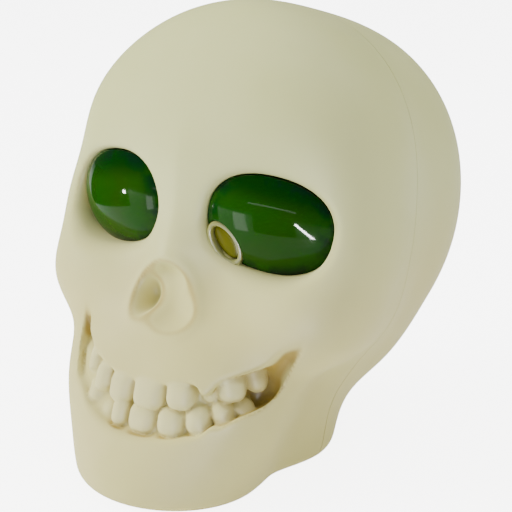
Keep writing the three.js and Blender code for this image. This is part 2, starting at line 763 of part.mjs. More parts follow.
const board_top = board_low + board.thick;
const board_sites = [-1, 1].map((way) => bay.y + way * (board.half_long - board.screw_inset));

function plateOutline(grow) {
  const { x0, x1, y0, y1 } = plate_box;
  const corner_places = [
    [x1 - plate.corner, y0 + plate.corner, -90],
    [x1 - plate.corner, y1 - plate.corner, 0],
    [x0 + plate.corner, y1 - plate.corner, 90],
    [x0 + plate.corner, y0 + plate.corner, 180],
  ];
  return corner_places.flatMap(([x, y, start]) => Array.from({ length: plate.corner_count + 1 }, (_, i) => {
    const angle = radians(start + (90 * i) / plate.corner_count);
    const radius = plate.corner + grow;
    return new THREE.Vector2(x + radius * Math.cos(angle), y + radius * Math.sin(angle));
  }));
}

// Opening for the base plate, the upright collar round it and the screw bosses
function addPlateSeat(shell, outside) {
  const opening = prism(plateOutline(fit), -overrun, plate.collar_high + overrun);
  const collar = prism(plateOutline(fit + plate.collar_wall), 0, plate.collar_high);
  let result = shell.add(collar.intersect(outside)).subtract(opening);
  const boss_top = boss_low + plate_boss.high;
  for (const site of plate_sites) {
    const boss = barZ(site.x, site.y, boss_radius, boss_low, boss_top, boss_side_count);
    result = result.add(boss.add(bossWeb(site)).intersect(outside));
    const top = boss_low + plate_screw.length;
    result = result.subtract(barZ(site.x, site.y, plate_hole, 0, top, screw_side_count));
  }
  return result;
}

// A web from each boss outwards into the collar
function bossWeb(site) {
  const low = boss_low;
  const half = plate_boss.web_half;
  const reach = fit + plate.collar_wall / 2;
  if (site.x > switch_spot.x) {
    return block(site.x, plate_box.x1 + reach, site.y - half, site.y + half, low, plate.collar_high);
  }
  const near = site.y > bay.y ? plate_box.y1 + reach : plate_box.y0 - reach;
  const [y0, y1] = [site.y, near].sort((a, b) => a - b);
  return block(site.x - half, site.x + half, y0, y1, low, plate.collar_high);
}

// Levels behind the eye: lens flange, cup flange, cone, neck and lamp rim
const lens_back = -eye.pit_depth - fit;
const cup_front = lens_back - lens.flange_thick - fit;
const cup_back = cup_front - cup.flange_thick;
const cone_end = cup_back - cup.deep;
const neck_end = cone_end - cup.neck_long;
const lamp_hole = lamp.radius + lamp.gap;
const lamp_back = neck_end - fit - lamp.rim_thick;

// Lens: a thin dome with a skirt and a flat flange behind the collar
function eyeLens(side) {
  const low = lens_back - lens.flange_thick;
  const dome = domeSolid(0).add(prism(eyeOutline(lens.skirt_wide), low - overrun, -lens.sink));
  const core = domeSolid(lens.thick).add(prism(eyeOutline(0), low - overrun, -lens.sink));
  let body = prism(eyeOutline(-lens.side_gap), low, eye.pit_depth).intersect(dome);
  body = body.add(prism(eyeOutline(lens.flange_wide), low, lens_back)).add(earPlate(low, lens_back));
  const bore = prism(eyeOutline(-lens.side_gap - lens.thick), low - overrun, eye.pit_depth);
  body = body.subtract(bore.intersect(core));
  if (side > 0) body = body.subtract(prism(postOutline(fit), lens_back, eye.pit_depth));
  return atEye(body, side);
}

function domeSolid(inset) {
  const geometry = new THREE.SphereGeometry(1, lens.sphere_count, lens.sphere_count / 2);
  geometry.rotateX(Math.PI / 2);
  geometry.scale(
    eye.half_wide + lens.spread - inset, eye.half_high + lens.spread - inset, lens.bulge - inset,
  );
  geometry.translate(0, 0, -lens.sink);
  return solid(geometry);
}

// Two screw ears above and below, with their holes
function earPlate(low, high) {
  const height = earHeight();
  const upper = barZ(0, height, ear.radius, low, high, ear.side_count)
    .add(block(-ear.radius, ear.radius, eye.half_high, height, low, high));
  const lower = barZ(0, -height, ear.radius, low, high, ear.side_count)
    .add(block(-ear.radius, ear.radius, -height, -eye.half_high, low, high));
  const hole = (y) => barZ(
    0, y, eye_screw.shank + thread_gap, low - overrun, high + overrun, screw_side_count,
  );
  return upper.add(lower).subtract(hole(height)).subtract(hole(-height));
}

// Light cup: flange, cone and a neck that grips the lamp
function lightCup(side) {
  const neck = lamp_hole + cup.neck_wall;
  const count = eye.side_count;
  const skin = lofted(eyeOutline(0), circle(0, 0, neck + cup.wall, count), cup_back + cup.bite, cone_end);
  const core = lofted(
    eyeOutline(-cup.wall), circle(0, 0, neck, count), cup_front + fit, cone_end + cup.wall,
  );
  let body = prism(eyeOutline(lens.flange_wide), cup_back, cup_front).add(earPlate(cup_back, cup_front));
  body = body.add(skin).add(barZ(0, 0, neck, neck_end, cone_end + cup.bite, count));
  body = body.subtract(core);
  body = body.subtract(barZ(0, 0, lamp_hole, neck_end - overrun, cone_end + 2 * cup.wall, count));
  return atEye(body, side);
}

// A closed body between two outlines with the same number of points
function lofted(upper, lower, high, low) {
  const count = upper.length;
  const points = [
    ...upper.map((spot) => new THREE.Vector3(spot.x, spot.y, high)),
    ...lower.map((spot) => new THREE.Vector3(spot.x, spot.y, low)),
    new THREE.Vector3(0, 0, high),
    new THREE.Vector3(0, 0, low),
  ];
  const faces = [];
  for (let i = 0; i < count; i += 1) {
    const next = (i + 1) % count;
    faces.push(i, i + count, next, next, i + count, next + count);
    faces.push(2 * count, i, next, 2 * count + 1, next + count, i + count);
  }
  const geometry = new THREE.BufferGeometry().setFromPoints(points);
  geometry.setIndex(faces);
  return solid(geometry);
}

// Lamp with a rim at its back and a round tip
function eyeLamp(side) {
  const shoulder = lamp_back + lamp.length - lamp.radius;
  const tip = Array.from({ length: 4 }, (_, i) => {
    const angle = (Math.PI * i) / 6;
    return [lamp.radius * Math.cos(angle), shoulder + lamp.radius * Math.sin(angle)];
  });
  const rim_front = lamp_back + lamp.rim_thick;
  const profile = [
    [0, lamp_back], [lamp.rim, lamp_back], [lamp.rim, rim_front], [lamp.radius, rim_front],
    ...tip.slice(0, -1), [0, shoulder + lamp.radius],
  ];
  return atEye(turned(profile, lamp.side_count), side);
}

function postWindow() {
  const low = post.floor + fit;
  return atEye(prism(postOutline(-post.band - fit), low, low + post.window_thick), 1);
}

// A pan head screw standing on its tip, head up, with a slot
function screwSolid(kind) {
  const body = turned([
    [0, -kind.length], [kind.shank, -kind.length + kind.shank], [kind.shank, 0], [kind.head, 0],
    [kind.head * head_taper_share, kind.head_high], [0, kind.head_high],
  ], screw_side_count);
  const slot_low = kind.head_high * slot_deep_share;
  return body.subtract(
    slab(0, 0, far, kind.head * slot_wide_share, slot_low, kind.head_high + overrun),
  );
}

function shellScrewAt(spot) {
  const turn = new THREE.Matrix4().makeRotationX(-Math.PI / 2);
  const y = seamY(spot.z) + shell_boss.seat + fit;
  const place = new THREE.Matrix4().makeTranslation(spot.x, y, spot.z);
  return moved(screwSolid(shell_screw), place.multiply(turn));
}

function plateScrewAt(site) {
  const turn = new THREE.Matrix4().makeRotationX(Math.PI);
  const z = plate.low + plate_screw.head_high - fit;
  const place = new THREE.Matrix4().makeTranslation(site.x, site.y, z);
  return moved(screwSolid(plate_screw), place.multiply(turn));
}

function eyeScrewAt(way, side) {
  const turn = new THREE.Matrix4().makeRotationX(Math.PI);
  const place = new THREE.Matrix4().makeTranslation(0, way * earHeight(), cup_back - fit);
  return atEye(moved(screwSolid(eye_screw), place.multiply(turn)), side);
}

function boardScrewAt(y) {
  const place = new THREE.Matrix4().makeTranslation(bay.x, y, board_top + fit);
  return moved(screwSolid(board_screw), place);
}

// Base plate with the cell bay, switch slot, hinge holes and board posts
function basePlate() {
  const { x0, x1, y0, y1, ceiling } = bay_box;
  const thick = bay.wall;
  let body = prism(plateOutline(0), plate.low, plate_top);
  body = body.add(block(x0 - thick, x1 + thick, y0 - thick, y1 + thick, plate.low, bay_roof));
  const board_hole = board_screw.shank + thread_gap;
  for (const y of board_sites) {
    const top = bay_roof + board.post_high;
    body = body.add(barZ(bay.x, y, board_hole + board.post_wall, ceiling, top, boss_side_count));
    const low = top + fit - board_screw.length;
    body = body.subtract(barZ(bay.x, y, board_hole, low, top + overrun, screw_side_count));
  }
  body = body.subtract(block(x0, x1, y0, y1, -overrun, ceiling)).subtract(hingeHoles());
  for (const x of [bay.x - cell_pitch / 2, bay.x + cell_pitch / 2]) {
    const radius = wire.radius + wire.hole_gap;
    const out = y1 + thick + overrun;
    body = body.subtract(barY(x, cell_level, radius, y1 - overrun, out, screw_side_count));
  }
  for (const site of plate_sites) {
    const well = plate_screw.head + fit;
    const seat = plate.low + plate_screw.head_high;
    body = body.subtract(barZ(site.x, site.y, plate_hole, -overrun, plate_top + overrun, screw_side_count));
    body = body.subtract(barZ(site.x, site.y, well, -overrun, seat, boss_side_count));
  }
  return body.subtract(switchSlot());
}

// The door turns about two pins near the front of the bay
const hinge = { y: bay_box.y0 + door.gap + door.thick / 2, z: plate.low + door.thick / 2 };

function hingeHoles() {
  const radius = door.pin + door.pin_gap;
  const long = door.pin_long + fit;
  const { x0, x1 } = bay_box;
  return barX(hinge.y, hinge.z, radius, x0 - long, x0 + overrun, ear.side_count)
    .add(barX(hinge.y, hinge.z, radius, x1 - overrun, x1 + long, ear.side_count));
}

function batteryDoor() {
  const x0 = bay_box.x0 + fit;
  const x1 = bay_box.x1 - fit;
  const back = bay_box.y1 - fit;
  const low = plate.low;
  const top = low + door.thick;
  let body = block(x0, x1, hinge.y, back, low, top);
  body = body.add(barX(hinge.y, hinge.z, door.thick / 2, x0, x1, ear.side_count));
  body = body.add(barX(hinge.y, hinge.z, door.pin, x0 - door.pin_long, x1 + door.pin_long, ear.side_count));
  const tab_back = back - door.tab_gap;
  body = body.add(block(
    bay.x - door.tab_half, bay.x + door.tab_half, tab_back - door.tab_thick, tab_back,
    hinge.z, top + door.tab_high,
  ));
  for (let i = 0; i < door.groove_count; i += 1) {
    const y = bay.y + door.groove_step * (i - (door.groove_count - 1) / 2);
    body = body.subtract(block(
      x0 + door.groove_inset, x1 - door.groove_inset, y - door.groove_half, y + door.groove_half,
      low - overrun, low + door.groove_deep,
    ));
  }
  return body;
}

// A cell lying along Y, its nub to the back or to the front
function cellSolid(way) {
  const tip = cell.length - cell.nub_long;
  const step = cell.radius * cell.end_share;
  const body = turned([
    [0, 0], [step, 0], [step, cell.end_step], [cell.radius - cell.rim, cell.end_step],
    [cell.radius, cell.end_step + cell.rim], [cell.radius, tip - cell.rim], [cell.radius - cell.rim, tip],
    [cell.nub_radius, tip], [cell.nub_radius, cell.length], [0, cell.length],
  ], cell.side_count);
  const turn = new THREE.Matrix4().makeRotationX((-way * Math.PI) / 2);
  const nub = way > 0 ? bay_box.y1 - end_room : bay_box.y0 + end_room;
  const place = new THREE.Matrix4().makeTranslation(
    bay.x - (way * cell_pitch) / 2, nub - way * cell.length, cell_level,
  );
  return moved(body, place.multiply(turn));
}

function contactPlate(x0, x1, y) {
  const low = plate.low + door.thick + door.tab_high + contact.tab_gap;
  const high = cell_level + contact.above_axis;
  return block(x0, x1, y - contact.thick / 2, y + contact.thick / 2, low, high);
}

// The bridge joins both cells in front; a plate stands behind each cell
function contactAt(way) {
  const x = bay.x + (way * cell_pitch) / 2;
  const half = cell.radius - contact.edge;
  return contactPlate(x - half, x + half, bay_box.y1 - fit - contact.thick / 2);
}

function contactBridge() {
  const half = cell_pitch / 2 + cell.radius - contact.edge;
  return contactPlate(bay.x - half, bay.x + half, bay_box.y0 + fit + contact.thick / 2);
}

// A coil that narrows from its plate to the cell
function contactSpring(way) {
  const x = bay.x + (way * cell_pitch) / 2;
  const start = bay.y + way * (bay_half_long - end_room - spring.wire);
  const room = spring.long - fit - 2 * spring.wire;
  const spots = Array.from({ length: spring.step_count + 1 }, (_, i) => {
    const t = i / spring.step_count;
    const angle = 2 * Math.PI * spring.turn_count * t;
    const radius = lerp(spring.wide, spring.tip, t);
    return new THREE.Vector3(
      x + radius * Math.cos(angle), start - way * room * t, cell_level + radius * Math.sin(angle),
    );
  });
  return tube(spots, spring.wire, spring.step_count, spring.side_count);
}

function tube(spots, radius, steps, side_count) {
  const extrudePath = new THREE.CatmullRomCurve3(spots);
  const shape = new THREE.Shape(circle(0, 0, radius, side_count));
  return solid(new THREE.ExtrudeGeometry(shape, { steps, bevelEnabled: false, extrudePath }));
}

// Slide switch: slot in the plate, body over it and the knob that travels along Y
const knob_low = plate.low + slide.knob_sink;
const foot_low = plate_top + 2 * fit;
const slot_wide = slide.knob_wide + 2 * slide.side_gap;
const slot_long = slide.knob_long + slide.travel + 2 * slide.end_gap;

function switchSlot() {
  return slab(switch_spot.x, switch_spot.y, slot_wide, slot_long, -overrun, plate_top + overrun);
}

function switchBody() {
  const { x, y } = switch_spot;
  const low = plate_top + fit;
  const room_wide = slide.foot_wide + 2 * slide.side_gap;
  const room_long = slide.foot_long + slide.travel + 2 * slide.end_gap;
  const room_top = foot_low + slide.foot_high + slide.roof_gap;
  return slab(x, y, slide.wide, slide.long, low, low + slide.high)
    .subtract(slab(x, y, room_wide, room_long, low - overrun, room_top));
}

function switchKnob() {
  const x = switch_spot.x;
  const y = switch_spot.y - slide.travel / 2;
  const foot_top = foot_low + slide.foot_high;
  return slab(x, y, slide.knob_wide, slide.knob_long, knob_low, foot_top)
    .add(slab(x, y, slide.foot_wide, slide.foot_long, foot_low, foot_top));
}

// Lamp board with one chip and two resistors
function lampBoard() {
  const seat = board_top - board.sunk;
  let body = slab(bay.x, bay.y, 2 * board.half_wide, 2 * board.half_long, board_low, board_top);
  body = body.add(slab(bay.x, bay.y, 2 * chip.half, 2 * chip.half, seat, board_top + chip.high));
  for (const x of [bay.x - resistor.out, bay.x + resistor.out]) {
    const top = board_top + resistor.high;
    body = body.add(slab(x, bay.y, 2 * resistor.half_wide, 2 * resistor.half_long, seat, top));
  }
  const hole = board_screw.shank + thread_gap;
  for (const y of board_sites) {
    body = body.subtract(barZ(bay.x, y, hole, board_low - overrun, board_top + overrun, screw_side_count));
  }
  return body;
}

// A lamp's wire bows back and down from the lamp to the board
function lampWire(side, order) {
  const across = (order - 0.5) * 2 * lamp_wire.apart;
  const end_level = board_top + fit + half_fit;
  const start = new THREE.Vector3(across, 0, lamp_back - fit - half_fit).applyMatrix4(local_to_eye);
  const next = new THREE.Vector3(across, 0, lamp_back - lamp_wire.tail).applyMatrix4(local_to_eye);
  start.x *= side;
  next.x *= side;
  const x = bay.x + side * (lamp_wire.nearest + lamp_wire.pitch * order);
  const end = new THREE.Vector3(x, bay.y + lamp_wire.forward, end_level);
  const above = end.clone().add(new THREE.Vector3(0, lamp_wire.drift, lamp_wire.rise));
  const bow = new THREE.Vector3(side * lamp_wire.bow, lamp_wire.bow, 0);
  const middle = next.clone().lerp(above, 1 / 2).add(bow);
  return tube([start, next, middle, above, end], wire.radius, wire.step_count, wire.side_count);
}

// A cell's wire leaves the bay through its back wall and rises to the board
function batteryWire(way) {
  const x = bay.x + (way * cell_pitch) / 2;
  const outer = bay_box.y1 + bay.wall;
  const end_level = board_top + 2 * fit + half_fit;
  return tube([
    new THREE.Vector3(x, bay_box.y1 - half_fit, cell_level),
    new THREE.Vector3(x, outer + battery_wire.out, cell_level + battery_wire.rise),
    new THREE.Vector3(x, outer + battery_wire.bow, bay_box.ceiling + battery_wire.rise),
    new THREE.Vector3(x, outer - battery_wire.back, board_top + battery_wire.over),
    new THREE.Vector3(x, bay.y + board.half_long - battery_wire.inset, end_level),
  ], wire.radius, wire.step_count, wire.side_count);
}

// A switch wire rises from the switch and comes down on the board's edge
function switchWire(way) {
  const y = switch_spot.y + way * switch_wire.apart;
  const low = plate_top + slide.high + 2 * fit + half_fit;
  const end_x = bay.x + board.half_wide - switch_wire.inset;
  return tube([
    new THREE.Vector3(switch_spot.x, y, low),
    new THREE.Vector3(switch_spot.x, y, low + switch_wire.rise),
    new THREE.Vector3((switch_spot.x + end_x) / 2 + wire.radius, y, board_top + switch_wire.over),
    new THREE.Vector3(end_x, y, board_top + 2 * fit),
  ], wire.radius, wire.step_count, wire.side_count);
}

// Materials
function surface(colour, roughness, metalness = 0) {
  return new THREE.MeshStandardMaterial({ color: colour, roughness, metalness });
}

const cream = () => surface(0xdad2b0, 0.45);
const green_lens = () => surface(0x1c6a12, 0.08);
const olive_window = () => surface(0x79792a, 0.35);
const white_cup = () => surface(0xe9e7de, 0.4);
const clear_lamp = () => surface(0xd8efd0, 0.12);
const black_plastic = () => surface(0x1d1c1b, 0.5);
const grey_plastic = () => surface(0x2f3032, 0.55);
const steel = () => surface(0xb9bcc0, 0.3, 1);
const cell_sleeve = () => surface(0x2d5f3a, 0.35);
const board_green = () => surface(0x2c5a36, 0.5);
const red_wire = () => surface(0xb3251e, 0.5);
const black_wire = () => surface(0x202022, 0.5);

const group = new THREE.Group();

function addPart(name, body, material) {
  const mesh = new THREE.Mesh(geometryOf(body), material);
  mesh.name = name;
  group.add(mesh);
}

function addShells() {
  const shell = fullShell();
  addPart("face_shell", shell.intersect(frontSpace(half_fit)), cream());
  addPart("rear_shell", shell.subtract(frontSpace(-half_fit)), cream());
  for (const spot of screw_spots) addPart(spot.name, shellScrewAt(spot), steel());
}

function addEye(name, side) {
  addPart(`eye_lens_${name}`, eyeLens(side), green_lens());
  addPart(`light_cup_${name}`, lightCup(side), white_cup());
  addPart(`eye_lamp_${name}`, eyeLamp(side), clear_lamp());
  addPart(`eye_screw_${name}_upper`, eyeScrewAt(1, side), steel());
  addPart(`eye_screw_${name}_lower`, eyeScrewAt(-1, side), steel());
  addPart(`lamp_wire_${name}_red`, lampWire(side, 0), red_wire());
  addPart(`lamp_wire_${name}_black`, lampWire(side, 1), black_wire());
}

function addBase() {
  addPart("base_plate", basePlate(), black_plastic());
  for (const site of plate_sites) addPart(site.name, plateScrewAt(site), steel());
  addPart("battery_door", batteryDoor(), black_plastic());
  addPart("cell_a", cellSolid(1), cell_sleeve());
  addPart("cell_b", cellSolid(-1), cell_sleeve());
  addPart("contact_bridge", contactBridge(), steel());
  addPart("contact_plus", contactAt(-1), steel());
  addPart("contact_minus", contactAt(1), steel());
  addPart("spring_bridge", contactSpring(-1), steel());
  addPart("spring_minus", contactSpring(1), steel());
  addPart("switch_body", switchBody(), grey_plastic());
  addPart("switch_knob", switchKnob(), grey_plastic());
  addPart("lamp_board", lampBoard(), board_green());
  addPart("board_screw_front", boardScrewAt(board_sites[0]), steel());
  addPart("board_screw_back", boardScrewAt(board_sites[1]), steel());
  addPart("battery_wire_red", batteryWire(-1), red_wire());
  addPart("battery_wire_black", batteryWire(1), black_wire());
  addPart("switch_wire_front", switchWire(-1), red_wire());
  addPart("switch_wire_back", switchWire(1), red_wire());
}

// Puts the middle of the whole part over the origin, standing on the floor
function centreOnFloor() {
  const box = new THREE.Box3().setFromObject(group);
  const middle = box.getCenter(new THREE.Vector3());
  for (const mesh of group.children) {
    mesh.geometry.translate(-middle.x, -middle.y, -box.min.z);
  }
}

addShells();
addEye("left", 1);
addEye("right", -1);
addPart("eye_window", postWindow(), olive_window());
addBase();
centreOnFloor();

export default group;
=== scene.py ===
# %% [markdown]
# # A light-up skull ornament
# The ornament is two cream plastic shells that meet on a seam behind the temples, two domed green lenses held
# from inside, and a flat base plate with the cells. The solid model gives every piece its place, so this
# lesson opens that model first and then builds the visible surfaces round it, in metres and in the same
# frame.

import math

import bmesh
import bpy
import numpy as np
from mathutils import Matrix, Vector


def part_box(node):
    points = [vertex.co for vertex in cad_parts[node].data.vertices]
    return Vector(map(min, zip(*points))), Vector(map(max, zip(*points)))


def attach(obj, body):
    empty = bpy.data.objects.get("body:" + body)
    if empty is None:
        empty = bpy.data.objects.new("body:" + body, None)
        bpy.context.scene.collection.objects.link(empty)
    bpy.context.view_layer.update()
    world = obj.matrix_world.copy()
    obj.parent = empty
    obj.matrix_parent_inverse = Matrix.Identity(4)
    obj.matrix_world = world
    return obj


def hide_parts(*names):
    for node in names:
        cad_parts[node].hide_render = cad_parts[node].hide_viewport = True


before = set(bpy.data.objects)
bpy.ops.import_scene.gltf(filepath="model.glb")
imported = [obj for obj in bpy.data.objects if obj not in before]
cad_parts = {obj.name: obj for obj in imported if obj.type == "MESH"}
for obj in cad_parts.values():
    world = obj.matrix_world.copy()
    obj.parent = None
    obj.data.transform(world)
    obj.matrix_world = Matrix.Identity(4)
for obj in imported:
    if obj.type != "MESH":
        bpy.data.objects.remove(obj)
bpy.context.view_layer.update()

# %% [markdown]
# The skull's form is written in millimetres from the middle of its jaw line. The solid model was moved after
# that so that its box stands in the middle, and the front edge of the base plate tells by how much.

# %% From the form's millimetres to metres
PLATE_FRONT = -60.0
shift_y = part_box("base_plate")[0].y * 1000 - PLATE_FRONT


def to_frame(points):
    """Millimetres of the form to metres of the model."""
    return (np.asarray(points, float).reshape(-1, 3) + (0, shift_y, 0)) / 1000


def form_box(node):
    """Both corners of a node's box, in millimetres of the form."""
    return [np.array(corner) * 1000 - (0, shift_y, 0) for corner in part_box(node)]


print("the form moves", round(shift_y, 2), "mm along Y")

# %% [markdown]
# The camera stands in front and to the skull's left, a little above it, and looks down with a long lens. A
# long lens far away keeps the face from bulging, which is how small products are usually photographed.

# %% Camera
AIM, TURN, RISE, DISTANCE = (0, 0, 60), 35.5, 17.8, 0.487
SENSOR_WIDE, FOCUS_PIXELS, IMAGE_PIXELS = 36, 1500, 512
camera_data = bpy.data.cameras.new("camera")
camera_data.sensor_width = SENSOR_WIDE
camera_data.lens = SENSOR_WIDE * FOCUS_PIXELS / IMAGE_PIXELS
camera = bpy.data.objects.new("camera", camera_data)
turn, rise = math.radians(TURN), math.radians(RISE)
backward = Vector((math.sin(turn) * math.cos(rise), -math.cos(turn) * math.cos(rise), math.sin(rise)))
camera.location = Vector(to_frame(AIM)[0]) + DISTANCE * backward
camera.rotation_euler = backward.to_track_quat("Z", "Y").to_euler()
bpy.context.scene.collection.objects.link(camera)
bpy.context.scene.camera = camera
print("camera at", [round(x, 3) for x in camera.location])

# %% [markdown]
# A sculptor would start from a few egg shapes and press them into each other. The same can be done with
# numbers: a signed distance is negative inside a form, zero on its skin and positive outside, and a soft
# minimum joins two forms with a fillet. Whatever has such a distance can be blended, carved and given a wall.

# %% Signed distances of eggs and rods
TINY = 1e-9


def soft_min(a, b, blend):
    h = np.maximum(blend - np.abs(a - b), 0) / blend
    return np.minimum(a, b) - h * h * blend / 4


def soft_max(a, b, blend):
    return -soft_min(-a, -b, blend)


def egg(p, middle, half, lean=0.0):
    q = p - np.array(middle, float)
    c, s = math.cos(math.radians(lean)), math.sin(math.radians(lean))
    q = np.stack([q[:, 0], q[:, 1] * c - q[:, 2] * s, q[:, 1] * s + q[:, 2] * c], 1) / np.array(half, float)
    near = np.sqrt((q * q).sum(1)) + TINY
    slope = np.sqrt(((q / np.array(half, float)) ** 2).sum(1)) + TINY
    return near * (near - 1) / slope


def rod(p, start, end, thick_start, thick_end):
    start, along = np.array(start, float), np.array(end, float) - np.array(start, float)
    share = np.clip(((p - start) @ along) / (along @ along), 0, 1)
    away = np.sqrt((((p - start) - share[:, None] * along) ** 2).sum(1))
    return away - (thick_start + (thick_end - thick_start) * share)


def oval(u, v, half_u, half_v, power):
    f = ((np.abs(u) / half_u) ** power + (np.abs(v) / half_v) ** power) ** (1 / power)
    return (f - 1) * np.sqrt(u * u + v * v) / np.maximum(f, 1e-3)


def smooth_step(value, low, high):
    share = np.clip((value - low) / (high - low), 0, 1)
    return share * share * (3 - 2 * share)


# %% [markdown]
# The skull itself: a vault and a brow for the head, cheeks and muzzle for the face, a chin with two rods for
# the jaw, and a rod for the neck. Twenty gentle swellings then pull the temples, eye rims and jaw corners
# into place. Both sides are alike, so the form is only written for the left one.

# %% The bare skull
FORMS = {
    # Eggs have a middle, half sizes and a lean in degrees.
    "vault": ((0, 26, 78), (56, 50.5, 59), 8), "brow": ((0, -8, 96.5), (53, 37.5, 47), 8),
    "face": ((0, -7.5, 74.5), (52, 28.5, 46), 0), "cheek": ((37.5, -25, 57.5), (20.5, 21.5, 18.5), 0),
    "muzzle": ((0, -37, 35.5), (34.5, 29, 27.5), 8), "chin": ((0, -47, 9.5), (30.5, 27.5, 30.5), 8),
    # Rods have two ends and a radius at each.
    "jaw body": ((10, -41, 7.5), (14.5, -9.5, 5.5), 16.5, 14),
    "jaw branch": ((14.5, -9.5, 5.5), (26.5, 0.5, 47), 14, 19.5),
    "neck": ((0, -9.5, 3.5), (0, 11, 47), 24.5, 26.5), "nose bridge": ((0, -39, 72.5), (0, -43, 58.5), 7, 7),
}
HEAD, FACE = (("vault", 0), ("brow", 24)), (("face", 0), ("cheek", 20), ("muzzle", 20))
JAW = (("chin", 0), ("jaw body", 14), ("jaw branch", 16), ("neck", 14))
FACE_BLEND, JAW_BLEND, BRIDGE_BLEND, MIDDLE_ROUND = 24, 20, 18, 1
SWELLINGS = {
    # Each has a middle, how far it reaches and how much it adds.
    "jaw corner": ((32.5, -48, 27.5), 12, 3.3), "neck side": ((30.5, 25, 27.5), 12, 3),
    "mouth side": ((43, -21.5, 37.5), 10, -2.3), "temple": ((51, -17.5, 107), 16, 1.7),
    "orbit rim": ((51, -21.5, 76.5), 11, 4), "cheek arch": ((53, -21.5, 61), 13, -1.2),
    "under cheek": ((47, -21.5, 45.5), 11, 1.6), "low jaw": ((30.5, -40, 9), 14, -1.4),
    "jaw angle": ((34.5, -3.5, 21.5), 12, -2.7), "jaw branch": ((45, 0.5, 39.5), 12, -3),
    "lip": ((0, -62.5, 31.5), 16, -6), "upper jaw": ((0, -52.5, 56), 14, -3.6),
    "nose root": ((0, -44, 80.5), 14, -1.2), "orbit": ((27.5, -40, 84.5), 16, -7),
    "back": ((0, 74, 79.5), 30, 3.3), "forehead": ((0, -40, 113), 24.5, -5),
    "side of the back": ((53, 21, 84.5), 26.5, -4.2), "nape": ((0, 41.5, 28.5), 22.5, 1.3),
    "crown": ((0, 46.5, 125.5), 28.5, -2.4), "low back": ((0, 67, 49), 22.5, -3.7),
}


def form(p, name):
    sizes = FORMS[name]
    return egg(p, *sizes) if len(sizes) == 3 else rod(p, *sizes)


def built(p, steps):
    """Blends named forms one after another, each with its own fillet."""
    d = form(p, steps[0][0])
    for name, blend in steps[1:]:
        d = soft_min(d, form(p, name), blend)
    return d


def bare_skull(p):
    q = p.copy()
    q[:, 0] = np.sqrt(q[:, 0] ** 2 + MIDDLE_ROUND)
    d = soft_min(soft_min(built(q, HEAD), built(q, FACE), FACE_BLEND), built(q, JAW), JAW_BLEND)
    d = soft_min(d, form(q, "nose bridge"), BRIDGE_BLEND)
    for place, reach, height in SWELLINGS.values():
        d -= height * np.exp(-((q - np.array(place)) ** 2).sum(1) / (2 * reach * reach))
    return d


# %% [markdown]
# Each eye has its own axes: across, up and outwards. The opening is a squared oval with a rounded rim. The
# nose is a broad hollow with a deep narrow groove beside it, and a soft crest of bone is left between them.

# %% Eye and nose openings
EYE_PLACE, EYE_TURN, EYE_TILT = (29.0, -35.5, 83.3), math.radians(14.0), math.radians(9.0)
EYE_HALF, EYE_POWER, EYE_DEPTH = (20.0, 14.6), 2.25, 9.0
NOSE_LOW, NOSE_HIGH = ((4.0, -52, 58.2), (7.6, 6.6, 5.8)), ((0.0, -48.8, 64.2), (6.6, 6.4, 5.6))
NOSE_GROOVE = ((-7.2, -50, 59.6), (3.4, 9.5, 5.8), 14)
NOSE_BLEND, GROOVE_BLEND = 6, 4.5


def eye_axes(p):
    """Points on the left side as across, up and outwards from the eye."""
    q = p - np.array(EYE_PLACE)
    across = q[:, 0] * math.cos(EYE_TURN) + q[:, 1] * math.sin(EYE_TURN)
    out = q[:, 0] * math.sin(EYE_TURN) - q[:, 1] * math.cos(EYE_TURN)
    u = across * math.cos(EYE_TILT) - q[:, 2] * math.sin(EYE_TILT)
    v = across * math.sin(EYE_TILT) + q[:, 2] * math.cos(EYE_TILT)
    return u, v, out


def from_eye_axes(u, v, out, side=1):
    across = u * math.cos(EYE_TILT) + v * math.sin(EYE_TILT)
    z = -u * math.sin(EYE_TILT) + v * math.cos(EYE_TILT)
    x = across * math.cos(EYE_TURN) + out * math.sin(EYE_TURN)
    y = across * math.sin(EYE_TURN) - out * math.cos(EYE_TURN)
    return np.stack([side * (x + EYE_PLACE[0]), y + EYE_PLACE[1], z + EYE_PLACE[2]], -1)


def nose(p):
    hollow = soft_min(egg(p, *NOSE_LOW), egg(p, *NOSE_HIGH), NOSE_BLEND)
    return soft_min(hollow, egg(p, *NOSE_GROOVE), GROOVE_BLEND)


# %% [markdown]
# The mouth is a shallow band that follows the jaws round and grows deep at its corners. The teeth stand in it
# along an arch, every one a rounded block of its own width. On the real ornament they are moulded in one
# piece with the face, so here too their distance is blended into the skin with a small fillet: the gum.

# %% Teeth
UPPER = (
    # left edge, right edge, low, high, how far it stands out
    (-21.9, -17.6, 34.6, 43.4, 0.2), (-17.2, -10.8, 30.4, 40.0, 0.8), (-10.4, -1.6, 29.1, 39.0, 1.0),
    (-1.0, 10.3, 29.4, 39.2, 1.1), (11.2, 20.3, 31.0, 40.4, 1.0), (20.8, 26.4, 33.2, 40.5, -1.8),
    (27.0, 33.0, 34.0, 43.8, 1.5), (33.2, 35.8, 35.8, 45.2, 1.5),
)
LOWER = (
    (-19.6, -14.4, 26.6, 33.4, -0.2), (-13.2, -8.6, 23.0, 28.0, -2.4), (-8.0, -2.2, 22.6, 31.0, 0.1),
    (-1.7, 8.4, 22.0, 31.0, 0.1), (9.1, 18.0, 22.8, 31.6, 0.1), (18.6, 25.7, 24.4, 33.0, 0.1),
    (26.2, 31.1, 26.9, 35.0, 0.2), (31.0, 34.8, 28.9, 34.4, 0.2),
)
ARCH_BACK, ARCH_DEEP, ARCH_HALF, ARCH_POWER, ARCH_MIDDLE, ARCH_LEAN = -30, 33, 37, 2.6, 34, 0.33
TOOTH_DEEP, TOOTH_ROUND, TOOTH_BULGE, TOOTH_BLEND = 8.4, 3.4, 0.03, 0.5
